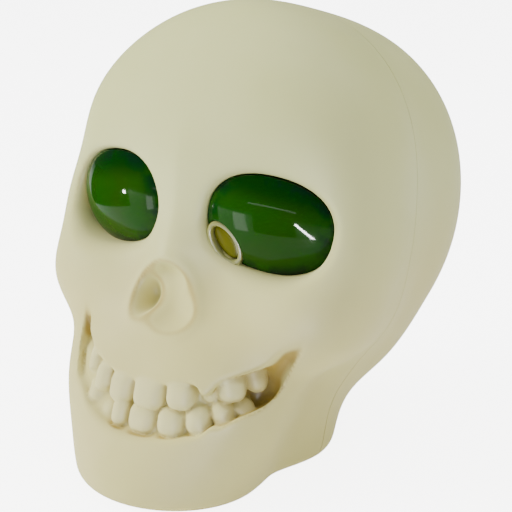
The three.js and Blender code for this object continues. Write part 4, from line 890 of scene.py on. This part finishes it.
# %% [markdown]
# Moulded plastic is never quite one colour. Its tint drifts a little, it has a fine grain, and handling
# leaves duller patches. Each of these effects is a shader group with named inputs, so that every material can
# share it.

# %% Shared shader groups
def own_place(tree):
    return tree.nodes.new("ShaderNodeTexCoord").outputs["Object"]


def shader_group(name, given, result, kind):
    """A shader group; given is its inputs with their defaults, result its only output."""
    tree = bpy.data.node_groups.new(name, "ShaderNodeTree")
    for label, value in given.items():
        colour = isinstance(value, tuple)
        socket = tree.interface.new_socket(
            label, in_out="INPUT", socket_type="NodeSocketColor" if colour else "NodeSocketFloat",
        )
        socket.default_value = (*value, 1) if colour else value
    tree.interface.new_socket(result, in_out="OUTPUT", socket_type=kind)
    return tree, tree.nodes.new("NodeGroupInput").outputs, tree.nodes.new("NodeGroupOutput").inputs[0]


def noise(tree, scale, detail=3.0, rough=0.55):
    return put(tree, "ShaderNodeTexNoise", [
        ("Vector", own_place(tree)), ("Scale", scale), ("Detail", detail), ("Roughness", rough),
    ]).outputs["Fac"]


def ranged(tree, value, low, high, start=0.0, end=1.0):
    return put(tree, "ShaderNodeMapRange", [
        ("Value", value), ("From Min", low), ("From Max", high), ("To Min", start), ("To Max", end),
    ], interpolation_type="SMOOTHSTEP").outputs["Result"]


def mixed(tree, share, first, second):
    """Colour between two colours, by a share from 0 to 1."""
    return put(tree, "ShaderNodeMix", [(0, share), (6, first), (7, second)], data_type="RGBA").outputs[2]


def tint_drift_group():
    tree, given, end = shader_group(
        "tint drift", {"Colour": (0.8, 0.8, 0.8), "Drift Colour": (0.7, 0.7, 0.7), "Scale": 30.0},
        "Colour", "NodeSocketColor",
    )
    cloud = ranged(tree, noise(tree, given["Scale"]), 0.32, 0.68)
    tree.links.new(mixed(tree, cloud, given["Colour"], given["Drift Colour"]), end)
    return tree


def fine_grain_group():
    sizes = {"Scale": 900.0, "Depth": 0.00002, "Strength": 0.3}
    tree, given, end = shader_group("fine grain", sizes, "Normal", "NodeSocketVector")
    grain = noise(tree, given["Scale"], 4.0)
    bump = put(tree, "ShaderNodeBump", [
        ("Height", grain), ("Distance", given["Depth"]), ("Strength", given["Strength"]),
    ])
    tree.links.new(bump.outputs["Normal"], end)
    return tree


def handling_group():
    sizes = {"Clean": 0.35, "Dull": 0.55, "Scale": 45.0}
    tree, given, end = shader_group("handling marks", sizes, "Roughness", "NodeSocketFloat")
    smear = noise(tree, given["Scale"], 5.0, 0.65)
    tree.links.new(ranged(tree, smear, 0.35, 0.75, given["Clean"], given["Dull"]), end)
    return tree


def speck_group():
    sizes = {"Scale": 110.0, "Size": 0.07, "Rarity": 0.9}
    tree, given, end = shader_group("tiny specks", sizes, "Mask", "NodeSocketFloat")
    dots = put(tree, "ShaderNodeTexVoronoi", [("Vector", own_place(tree)), ("Scale", given["Scale"])])
    small = calc(tree, "LESS_THAN", dots.outputs["Distance"], given["Size"])
    chosen = calc(tree, "GREATER_THAN", dots.outputs["Color"], given["Rarity"])
    tree.links.new(calc(tree, "MULTIPLY", small, chosen), end)
    return tree


groups = {tree.name: tree for tree in (
    tint_drift_group(), fine_grain_group(), handling_group(), speck_group(),
)}
print("shader groups:", ", ".join(groups))

# %% Helpers for materials
def effect(tree, name, **values):
    """A shared group placed in a material's tree; underscores in a name stand for spaces."""
    sockets = [(label.replace("_", " "), value) for label, value in values.items()]
    return put(tree, "ShaderNodeGroup", sockets, node_tree=groups[name]).outputs[0]


def new_material(name, **numbers):
    """A material with its Principled shader; numbers set plain inputs, with spaces written as underscores."""
    material = bpy.data.materials.new(name)
    material.use_nodes = True
    shader = material.node_tree.nodes["Principled BSDF"]
    for label, value in numbers.items():
        shader.inputs[label.replace("_", " ")].default_value = value
    return material, material.node_tree, shader


def dress(tree, shader, colour, marks, grain=None):
    """Links a colour, the handling marks and, where it is given, a fine grain to a shader."""
    tree.links.new(colour, shader.inputs["Base Color"])
    tree.links.new(effect(tree, "handling marks", **marks), shader.inputs["Roughness"])
    if grain:
        tree.links.new(effect(tree, "fine grain", **grain), shader.inputs["Normal"])


def drifting(name, colour, drift, clean=0.35, dull=0.5, grain=0.25, size=900.0, scale=30.0, **numbers):
    """A material whose tint drifts, with duller patches and a fine grain."""
    material, tree, shader = new_material(name, **numbers)
    tint = effect(tree, "tint drift", Colour=colour, Drift_Colour=drift, Scale=scale)
    dress(tree, shader, tint, {"Clean": clean, "Dull": dull}, {"Scale": size, "Strength": grain})
    return material


def plated_steel(name, colour, clean):
    darker = tuple(0.78 * part for part in colour)
    return drifting(name, colour, darker, clean, clean + 0.16, 0.2, 1600.0, 160.0, Metallic=1.0)


def insulation(name, colour):
    paler = tuple(min(1.25 * part + 0.01, 1) for part in colour)
    return drifting(name, colour, paler, 0.3, 0.42, 0.15, 700.0, 90.0)


def value_on(tree, name):
    return put(tree, "ShaderNodeAttribute", attribute_name=name).outputs["Fac"]


def height_in(tree):
    return put(tree, "ShaderNodeSeparateXYZ", [("Vector", own_place(tree))]).outputs["Z"]


# %% [markdown]
# The shell is cream plastic, a little yellower from the cheeks down than on the forehead. A brown painted
# shade darkens the crevices: round the teeth, in the corners of the mouth and in the nose. It is patchy,
# lighter on the teeth and strongest in the deepest folds and the mouth's corners. The crevice value measured
# on the form guides it.

# %% Cream plastic
CREAM, CREAM_DRIFT, LOW_CREAM = (0.64, 0.65, 0.30), (0.60, 0.62, 0.26), (0.67, 0.61, 0.26)
# In the next line, the third colour is the brown of the painted shade in crevices and mouth hollows.
LOW_DRIFT, TOOTH, CREVICE_SHADE, SPECK = (0.63, 0.58, 0.225), (0.72, 0.68, 0.34), (0.33, 0.21, 0.02), (0.12, 0.1, 0.06)
YELLOW_BELOW, CREAM_ABOVE = 0.045, 0.095


def cream_material():
    material, tree, shader = new_material(
        "cream_plastic", Subsurface_Weight=0.1, Subsurface_Scale=0.002, Subsurface_Radius=(1.0, 0.8, 0.5),
        Specular_IOR_Level=0.25,
    )
    plain = effect(tree, "tint drift", Colour=CREAM, Drift_Colour=CREAM_DRIFT, Scale=17.0)
    yellowed = effect(tree, "tint drift", Colour=LOW_CREAM, Drift_Colour=LOW_DRIFT, Scale=23.0)
    low = ranged(tree, height_in(tree), YELLOW_BELOW, CREAM_ABOVE, 1.0, 0.0)
    tooth_share = calc(tree, "MULTIPLY", value_on(tree, "tooth"), 0.6)
    unshaded = mixed(tree, tooth_share, mixed(tree, low, plain, yellowed), TOOTH)
    patchy = ranged(tree, noise(tree, 60.0, 4.0), 0.3, 0.7, 0.75, 1.0)
    less_on_teeth = ranged(tree, value_on(tree, "tooth"), 0.0, 1.0, 1.0, 0.5)
    # Painted shade: brown darkening in the crevices and the mouth's hollows, patchy and lighter on the teeth.
    deep = ranged(tree, value_on(tree, "crevice"), 0.3, 0.95, 0.0, 0.9)
    painted_shade = calc(tree, "MULTIPLY", calc(tree, "MULTIPLY", deep, patchy), less_on_teeth)
    specks = effect(tree, "tiny specks", Size=0.035, Rarity=0.96)
    colour = mixed(tree, specks, mixed(tree, painted_shade, unshaded, CREVICE_SHADE), SPECK)
    dress(tree, shader, colour, {"Clean": 0.48, "Dull": 0.62, "Scale": 38.0},
          {"Scale": 420.0, "Depth": 0.00005, "Strength": 0.28})
    return material


cream = cream_material()
for piece in (face_piece, rear_piece):
    piece.data.materials.append(cream)

# %% [markdown]
# The lens is deep green tinted plastic. Its middle shows a little of the white cup behind it, so it is olive
# green there. Its top is painted darker as shade under the brow, and its rim is painted nearly navy as shade
# by the socket wall. The outer edge of the other lens shows a mustard strip, where light gets in beside it.

# %% Green lenses and the olive window
LENS_MIDDLE, LENS_DRIFT = (0.005, 0.055, 0.0004), (0.011, 0.05, 0.0005)
# The next line's first two greens are painted shade: the top of the lens under the brow, and its rim by the
# socket wall.
LENS_TOP_SHADE, LENS_RIM_SHADE, LENS_STRIP = (0.0012, 0.026, 0.0006), (0.0015, 0.018, 0.006), (0.2, 0.15, 0.008)


def lens_material():
    material, tree, shader = new_material("green_lens", Specular_IOR_Level=0.1)
    centre = effect(tree, "tint drift", Colour=LENS_MIDDLE, Drift_Colour=LENS_DRIFT, Scale=55.0)
    # Painted shade: darker towards the top of the lens, under the brow.
    shaded = mixed(tree, ranged(tree, value_on(tree, "rise"), 0.3, 0.8), centre, LENS_TOP_SHADE)
    cloud = ranged(tree, noise(tree, 130.0), 0.42, 0.62)
    # Painted shade round the rim, broken up by a cloud.
    edge = calc(tree, "MULTIPLY", ranged(tree, value_on(tree, "rim"), 0.7, 1.0), cloud)
    colour = mixed(tree, value_on(tree, "strip"), mixed(tree, edge, shaded, LENS_RIM_SHADE), LENS_STRIP)
    dress(tree, shader, colour, {"Clean": 0.03, "Dull": 0.12, "Scale": 70.0},
          {"Scale": 260.0, "Strength": 0.12})
    return material


green = lens_material()
for piece, side in ((lens_left, 1), (lens_right, -1)):
    u, v, _ = eye_axes(points_of(piece) * (side, 1, 1))
    across, up = u / EYE_HALF[0], v / EYE_HALF[1]
    rim = np.clip(np.abs(across) ** EYE_POWER + np.abs(up) ** EYE_POWER, 0, 1) ** (1 / EYE_POWER)
    add_values(piece, "rim", rim)
    add_values(piece, "rise", up)
    add_values(piece, "strip", smooth_step(across, 0.9, 0.94) * (side < 0))
    piece.data.materials.append(green)
olive_window.data.materials.append(drifting(
    "olive_window", (0.14, 0.135, 0.005), (0.12, 0.125, 0.006), 0.28, 0.4, 0.1, Specular_IOR_Level=0.06,
))
# Painted shade and a painted green reflection: the cream band of the post is coloured darker and greener than
# the shell.
eye_ring.data.materials.append(drifting(
    "shaded_post_band", (0.30, 0.31, 0.15), (0.25, 0.25, 0.06), 0.3, 0.45, 0.2, scale=140.0,
))

# %% [markdown]
# A cell has a printed sleeve between two bare steel ends. The sleeve and ends differ only by where they are
# along the cell and how far from its axis, so two values on the points are enough to part them. The sleeve
# has plain bands of colour and no words.

# %% Cells and lamps
SLEEVE, SLEEVE_DRIFT, BAND, LINE, CELL_STEEL = (
    (0.05, 0.2, 0.08), (0.04, 0.17, 0.07), (0.5, 0.33, 0.05), (0.8, 0.8, 0.76), (0.6, 0.6, 0.58),
)
BAND_FROM, LINE_AT, LINE_HALF, SLEEVE_FROM = 0.72, 0.7, 0.012, 0.94


def cell_material():
    material, tree, shader = new_material("cell_sleeve")
    along = value_on(tree, "along")
    band = calc(tree, "GREATER_THAN", along, BAND_FROM)
    from_line = calc(tree, "ABSOLUTE", calc(tree, "SUBTRACT", along, LINE_AT))
    line = calc(tree, "LESS_THAN", from_line, LINE_HALF)
    green_part = effect(tree, "tint drift", Colour=SLEEVE, Drift_Colour=SLEEVE_DRIFT)
    coloured = mixed(tree, line, mixed(tree, band, green_part, BAND), LINE)
    inside = calc(tree, "LESS_THAN", value_on(tree, "across"), SLEEVE_FROM)
    dress(tree, shader, mixed(tree, inside, coloured, CELL_STEEL), {"Clean": 0.25, "Dull": 0.42})
    tree.links.new(inside, shader.inputs["Metallic"])
    return material


sleeve = cell_material()
lamp_clear = drifting(
    "clear_lamp", (0.86, 0.95, 0.84), (0.8, 0.92, 0.78), 0.02, 0.08, 0.05, IOR=1.49, Transmission_Weight=0.9,
)
for pieces, finish in ((cells, sleeve), (lamps, lamp_clear)):
    for piece in pieces:
        piece.data.materials.append(finish)

# %% [markdown]
# The flat and turned pieces of the solid model already have the right shape. They stay as they are and only
# get a finish: black grained plastic for the base and its door, white for the cups, plated steel for the
# contacts.

# %% Finishes for the pieces of the solid model
CHIP_DEEP = 0.0004


def board_material():
    """Green lacquer, with the black chip picked out by its height above the board."""
    material, tree, shader = new_material("lamp_board")
    lacquer = effect(
        tree, "tint drift", Colour=(0.03, 0.16, 0.05), Drift_Colour=(0.02, 0.11, 0.04), Scale=140.0,
    )
    chip = calc(tree, "GREATER_THAN", height_in(tree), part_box("lamp_board")[1].z - CHIP_DEEP)
    dress(tree, shader, mixed(tree, chip, lacquer, (0.012, 0.012, 0.013)),
          {"Clean": 0.22, "Dull": 0.4, "Scale": 120.0})
    return material


for finish, nodes in (
    (drifting("white_cup", (0.86, 0.85, 0.8), (0.8, 0.8, 0.74), 0.3, 0.42, 0.15),
     ("light_cup_left", "light_cup_right")),
    (drifting("black_plastic", (0.028, 0.027, 0.026), (0.042, 0.041, 0.04), 0.48, 0.66, 0.7, 520.0),
     ("base_plate", "battery_door")),
    (drifting("switch_grey", (0.055, 0.057, 0.06), (0.075, 0.077, 0.08)), ("switch_body", "switch_knob")),
    (plated_steel("contact_steel", (0.72, 0.72, 0.7), 0.22),
     ("contact_bridge", "contact_plus", "contact_minus")),
    (board_material(), ("lamp_board",)),
):
    for node in nodes:
        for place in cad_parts[node].material_slots:
            place.material = finish
    print(finish.name, "on", ", ".join(nodes))

# %% [markdown]
# A pan head screw has a low head with a cross recess, a plain neck and a thread. The head is a short cone
# with two bars cut out of it, and the thread is a thin ridge that winds round the shank, made from a spiral
# curve.

# %% Tree for the screws
SCREW_SIZES = ("Head Radius", "Head Height", "Shank Radius", "Length", "Pitch")
SHELL_SIZES, BASE_SIZES = (0.0028, 0.002, 0.0014, 0.015, 0.0012), (0.0024, 0.0014, 0.0012, 0.008, 0.001)
BOARD_SIZES, EYE_SIZES = (0.0023, 0.0012, 0.0011, 0.0044, 0.0008), (0.0024, 0.0016, 0.0012, 0.009, 0.001)


def screw_tree():
    tree, given, end = shape_tree("pan_head_screw", dict(zip(SCREW_SIZES, SHELL_SIZES)))
    head, high, shank, long, pitch = (given[label] for label in SCREW_SIZES)

    def part(value, share):
        return calc(tree, "MULTIPLY", value, share)

    def vector(*values):
        return put(tree, "ShaderNodeCombineXYZ", enumerate(values)).outputs[0]

    def raised(body, height, spin=0.0):
        return put(tree, "GeometryNodeTransform", [
            ("Geometry", body), ("Translation", vector(0.0, 0.0, height)), ("Rotation", (0.0, 0.0, spin)),
        ]).outputs[0]

    def cone(corners, top, bottom, deep, rows=1):
        return put(tree, "GeometryNodeMeshCone", [
            ("Vertices", corners), ("Side Segments", rows), ("Radius Top", top), ("Radius Bottom", bottom),
            ("Depth", deep),
        ]).outputs["Mesh"]

    recess = put(tree, "GeometryNodeMeshBoolean", [("Mesh 1", cone(28, part(head, 0.74), head, high, 2))],
                 operation="DIFFERENCE", solver="EXACT")
    for spin in (0.0, math.pi / 2):
        size = vector(part(head, 1.15), part(head, 0.24), part(high, 1.2))
        bar = put(tree, "GeometryNodeMeshCube", [("Size", size)]).outputs["Mesh"]
        tree.links.new(raised(bar, part(high, 1.05), spin), recess.inputs["Mesh 2"])
    point = raised(cone(20, part(shank, 0.86), part(shank, 0.35), long), part(long, -1.0))
    core = raised(cone(20, part(shank, 0.86), part(shank, 0.8), part(long, 0.86)), part(long, -0.86))
    threaded = part(long, 0.78)
    winding = spiral(
        tree, 16, calc(tree, "DIVIDE", threaded, pitch), part(shank, 0.8), part(shank, 0.84), threaded,
    )
    thread = swept(tree, winding, 4, part(shank, 0.15))
    whole = put(tree, "GeometryNodeJoinGeometry")
    for body in (recess.outputs["Mesh"], point, core, raised(thread, part(long, -0.84))):
        tree.links.new(body, whole.inputs[0])
    return set_out(tree, whole.outputs[0], given, end)


# %% Screws in their places
EYE_SCREW_SEAT = LENS_LOW - FIT - CUP_FLANGE - FIT
screw_shape, steel = screw_tree(), plated_steel("plated_steel", (0.62, 0.63, 0.65), 0.3)


def screws(name, nodes, sizes, places, outward):
    values = {**dict(zip(SCREW_SIZES, sizes)), "Material": steel}
    grown(name, screw_shape, places, [], values, nodes, outward)


def boxed_screws(name, nodes, axis, sizes):
    """Screws whose head looks along an axis; the box of each node gives its place."""
    axis, places = np.array(axis), []
    for node in nodes:
        low, high = form_box(node)
        seat = np.where(axis > 0, high, low) - axis * sizes[1] * 1000
        places.append(np.where(axis == 0, (low + high) / 2, seat))
    screws(name, nodes, sizes, places, [axis] * len(places))


boxed_screws("shell_screws", SHELL_SCREWS, (0, 1, 0), SHELL_SIZES)
boxed_screws("base_screws", ["base_screw_" + end for end in ("back", "front", "side_front", "side_back")],
             (0, 0, -1), BASE_SIZES)
boxed_screws("board_screws", ("board_screw_front", "board_screw_back"), (0, 0, 1), BOARD_SIZES)
seats, outward, nodes = [], [], []
for end, side in (("left", 1), ("right", -1)):
    for height, way in (("upper", 1), ("lower", -1)):
        seat, below = (
            from_eye_axes(0.0, way * EAR_HEIGHT, EYE_SCREW_SEAT + out, side) for out in (0.0, -1.0)
        )
        seats.append(seat)
        outward.append(below - seat)
        nodes.append(f"eye_screw_{end}_{height}")
screws("eye_screws", nodes, EYE_SIZES, seats, outward)

# %% [markdown]
# The wires run from the lamps, cells and switch to the board. A smooth curve through a few places gives each
# one its route, and a tree sweeps a round section along it. Red and black wires are separate pieces.

# %% Routes of the wires
WIRE = {"Radius": 0.0007, "Sides": 14}


def lamp_route(start, middle, board_x):
    """From a lamp's foot over the middle of the head to the board."""
    x, y, z = start
    leaving = (x - math.copysign(1.3, x), y + 5.4, z)
    return [start, leaving, middle, (board_x, -18.5, 29.3), (board_x, -19.5, 20.3)]


def cell_route(x):
    return [(x, -0.7, 7.7), (x, 2.4, 8.7), (x, 2.9, 14.4), (x, -1, 22.4), (x, -12.5, 20.6)]


def switch_route(y):
    return [(13.4, y, 8.2), (13.4, y, 16.1), (7.7, y, 23.8), (0.5, y, 20.4)]


RED_ROUTES = {
    "lamp_wire_left_red": lamp_route((18.9, -0.5, 83.5), (11.1, -2.8, 56.4), -3.5),
    "lamp_wire_right_red": lamp_route((-18.9, -0.5, 83.5), (-18.6, -2.8, 56.4), -11.5),
    "battery_wire_red": cell_route(-12.9),
    "switch_wire_front": switch_route(-28.5), "switch_wire_back": switch_route(-22.5),
}
BLACK_ROUTES = {
    "lamp_wire_left_black": lamp_route((21.4, 0.2, 83.1), (13.4, -2.5, 56.2), -1.3),
    "lamp_wire_right_black": lamp_route((-21.4, 0.2, 83.1), (-20.9, -2.5, 56.2), -13.7),
    "battery_wire_black": cell_route(-2),
}


def smooth_route(places, steps=14):
    """Points on a smooth curve through the places, even where they are unevenly spaced."""
    p = np.array(places, float)
    p = np.concatenate([[2 * p[0] - p[1]], p, [2 * p[-1] - p[-2]]])
    route = [p[1]]
    for a, b, c, d in zip(p[:-3], p[1:-2], p[2:-1], p[3:]):
        before, here, after = (max(math.dist(*pair) ** 0.5, 1e-4) for pair in ((a, b), (b, c), (c, d)))
        leave = ((b - a) / before - (c - a) / (before + here) + (c - b) / here) * here
        arrive = ((c - b) / here - (d - b) / (here + after) + (d - c) / after) * here
        for t in np.linspace(0, 1, steps + 1)[1:]:
            route.append(b + leave * t + (3 * (c - b) - 2 * leave - arrive) * t * t
                         + (2 * (b - c) + leave + arrive) * t ** 3)
    return route


# %% Wires swept along their routes
def wire_tree():
    tree, given, end = shape_tree("round_wire", WIRE)
    path = put(tree, "GeometryNodeMeshToCurve", [("Mesh", given["Geometry"])]).outputs[0]
    return finish_tree(tree, swept(tree, path, given["Sides"], given["Radius"]), given, end)


wire_shape = wire_tree()
for name, routes, colour in (
    ("red", RED_ROUTES, (0.45, 0.03, 0.02)), ("black", BLACK_ROUTES, (0.02, 0.02, 0.022)),
):
    points, edges = [], []
    for places in routes.values():
        start = len(points)
        points += smooth_route(places)
        edges += [(i, i + 1) for i in range(start, len(points) - 1)]
    values = {**WIRE, "Material": insulation(name + "_insulation", colour)}
    grown(name + "_wires", wire_shape, points, edges, values, list(routes))

# %% [markdown]
# Each coil spring narrows from its contact plate to the cell. A spiral curve with two radii is exactly that.

# %% Tree and places for the springs
SPRING = {"Wire": 0.00035, "Wide": 0.0032, "Tip": 0.0017, "Long": 0.0023, "Turns": 3.0}


def spring_tree():
    tree, given, end = shape_tree("coil_spring", SPRING)
    coil = spiral(tree, 40, given["Turns"], given["Wide"], given["Tip"], given["Long"])
    return set_out(tree, swept(tree, coil, 10, given["Wire"]), given, end)


grown("cell_springs", spring_tree(), [(-12.95, -49.0, 7.7), (-2.05, -2.05, 7.7)], [],
      {**SPRING, "Material": plated_steel("spring_steel", (0.7, 0.7, 0.68), 0.22)},
      ["spring_bridge", "spring_minus"], [(0, 1, 0), (0, -1, 0)])

# %% [markdown]
# The picture is a studio shot on white. A broad key light stands to the camera's left and above, a weaker one
# fills the right, and a large panel hangs overhead. The floor is a lit white table, which looks brighter to
# the camera than it shines on the skull, so that it nearly whites out as it does in the picture.

# %% Floor and light
SUBJECT = (0, 0, 0.07)
FLOOR_HALF, FLOOR_DROP, FLOOR_GLOW, FLOOR_SEEN, WORLD_GLOW, WORLD_SEEN = 9, 0.0002, 0.4, 5.4, 0.15, 6.5


def sheet(name, half_wide, half_high, z, material):
    """A flat stage card, level and round the origin."""
    mesh = bpy.data.meshes.new(name)
    corners = [(x * half_wide, y * half_high, z) for x, y in ((-1, -1), (1, -1), (1, 1), (-1, 1))]
    mesh.from_pydata(corners, [], [(0, 1, 2, 3)])
    mesh.materials.append(material)
    made = linked(name, mesh)
    return made


def bright_to_camera(tree, glow, seen):
    """A strength of glow, and of glow and seen together for the camera's own rays."""
    camera_ray = put(tree, "ShaderNodeLightPath").outputs["Is Camera Ray"]
    return calc(tree, "MULTIPLY_ADD", camera_ray, seen, glow)


def area_light(name, place, aim, size, power):
    data = bpy.data.lights.new(name, "AREA")
    data.shape = "RECTANGLE"
    data.size, data.size_y = size
    data.energy = power
    lamp = linked(name, data)
    lamp.location = place
    lamp.rotation_euler = (Vector(place) - Vector(aim)).to_track_quat("Z", "Y").to_euler()
    return lamp


pale_floor = drifting("pale_floor", (0.9, 0.9, 0.9), (0.88, 0.88, 0.88), 0.75, 0.85, 0.0, scale=4.0)
floor_tree = pale_floor.node_tree
floor_shader = floor_tree.nodes["Principled BSDF"].inputs
floor_shader["Emission Color"].default_value = (1, 1, 1, 1)
floor_tree.links.new(bright_to_camera(floor_tree, FLOOR_GLOW, FLOOR_SEEN), floor_shader["Emission Strength"])
sheet("floor", FLOOR_HALF, FLOOR_HALF, -FLOOR_DROP, pale_floor)
world = bpy.data.worlds.new("studio")
bpy.context.scene.world = world
world.use_nodes = True
background = world.node_tree.nodes["Background"].inputs
background["Color"].default_value = (1, 1, 1, 1)
world.node_tree.links.new(bright_to_camera(world.node_tree, WORLD_GLOW, WORLD_SEEN), background["Strength"])
key = area_light("key", (-0.85, -0.72, 0.6), SUBJECT, (0.7, 0.7), 24)
fill = area_light("fill", (0.9, -0.3, 0.5), SUBJECT, (0.8, 0.8), 1.5)
key.visible_glossy = fill.visible_glossy = False
area_light("overhead", (0.3, 0.4, 1.5), (0, 0.2, 0), (2.0, 2.0), 34)

# %% [markdown]
# A glossy lens shows every lamp in the room. These four small lamps only make its reflections: a slanted
# bright streak and a broad dim patch in the near lens, a thin line over its middle, and a dot in the far
# lens. They are hidden from the camera and don't light the skull itself.

# %% Reflections in the lenses
near_eye, far_eye = (Vector(to_frame(from_eye_axes(0.0, 0.0, 0.0, side))[0]) for side in (1, -1))
CARD_DISTANCE = 0.22


def catch_light(name, eye, middle, along, size, power, away=CARD_DISTANCE):
    """A small lamp seen only in glossy surfaces; middle and along are directions from the eye."""
    lamp, along = area_light(name, (0, 0, 0), (0, 0, -1), size, power), Vector(along)
    z = Vector(middle).normalized()
    x = (along - along.dot(z) * z).normalized()
    lamp.matrix_world = Matrix.Translation(eye + away * z) @ Matrix((x, z.cross(x), z)).transposed().to_4x4()
    lamp.visible_camera = lamp.visible_diffuse = lamp.visible_transmission = False


catch_light("streak", near_eye, (0.47, -0.84, -0.25), (0.24, 0.24, -0.3), (0.11, 0.009), 1.6)
catch_light("patch", near_eye, (-0.44, -0.87, -0.22), (0, 0, 1), (0.07, 0.045), 0.08)
catch_light("line", near_eye, (0.02, -0.98, 0.19), (1, 0, 0), (0.16, 0.006), 0.03)
catch_light("dot", far_eye, (-0.69, -0.72, -0.07), (1, 0, 0), (0.0036, 0.0036), 0.016, 0.05)

# %% [markdown]
# The middle of each lens is dark in the picture, as if the camera and its stand were mirrored there. A black
# card before each eye, seen only in reflections, does the same and keeps the bright floor out of the lens.

# %% Black cards
black = drifting("black_card", (0.002, 0.002, 0.002), (0.003, 0.003, 0.003), 0.9, 1.0, 0.0)
for name, eye, way, half_wide, half_high in (
    ("near_card", near_eye, (0.03, -0.97, -0.17), 0.065, 0.055),
    ("far_card", far_eye, (-0.90, -0.30, -0.22), 0.11, 0.065),
):
    card = sheet(name, half_wide, half_high, 0, black)
    card.location = eye + CARD_DISTANCE * Vector(way).normalized()
    card.rotation_euler = (-Vector(way)).to_track_quat("Z", "Y").to_euler()
    card.visible_camera = card.visible_diffuse = card.visible_shadow = card.visible_transmission = False
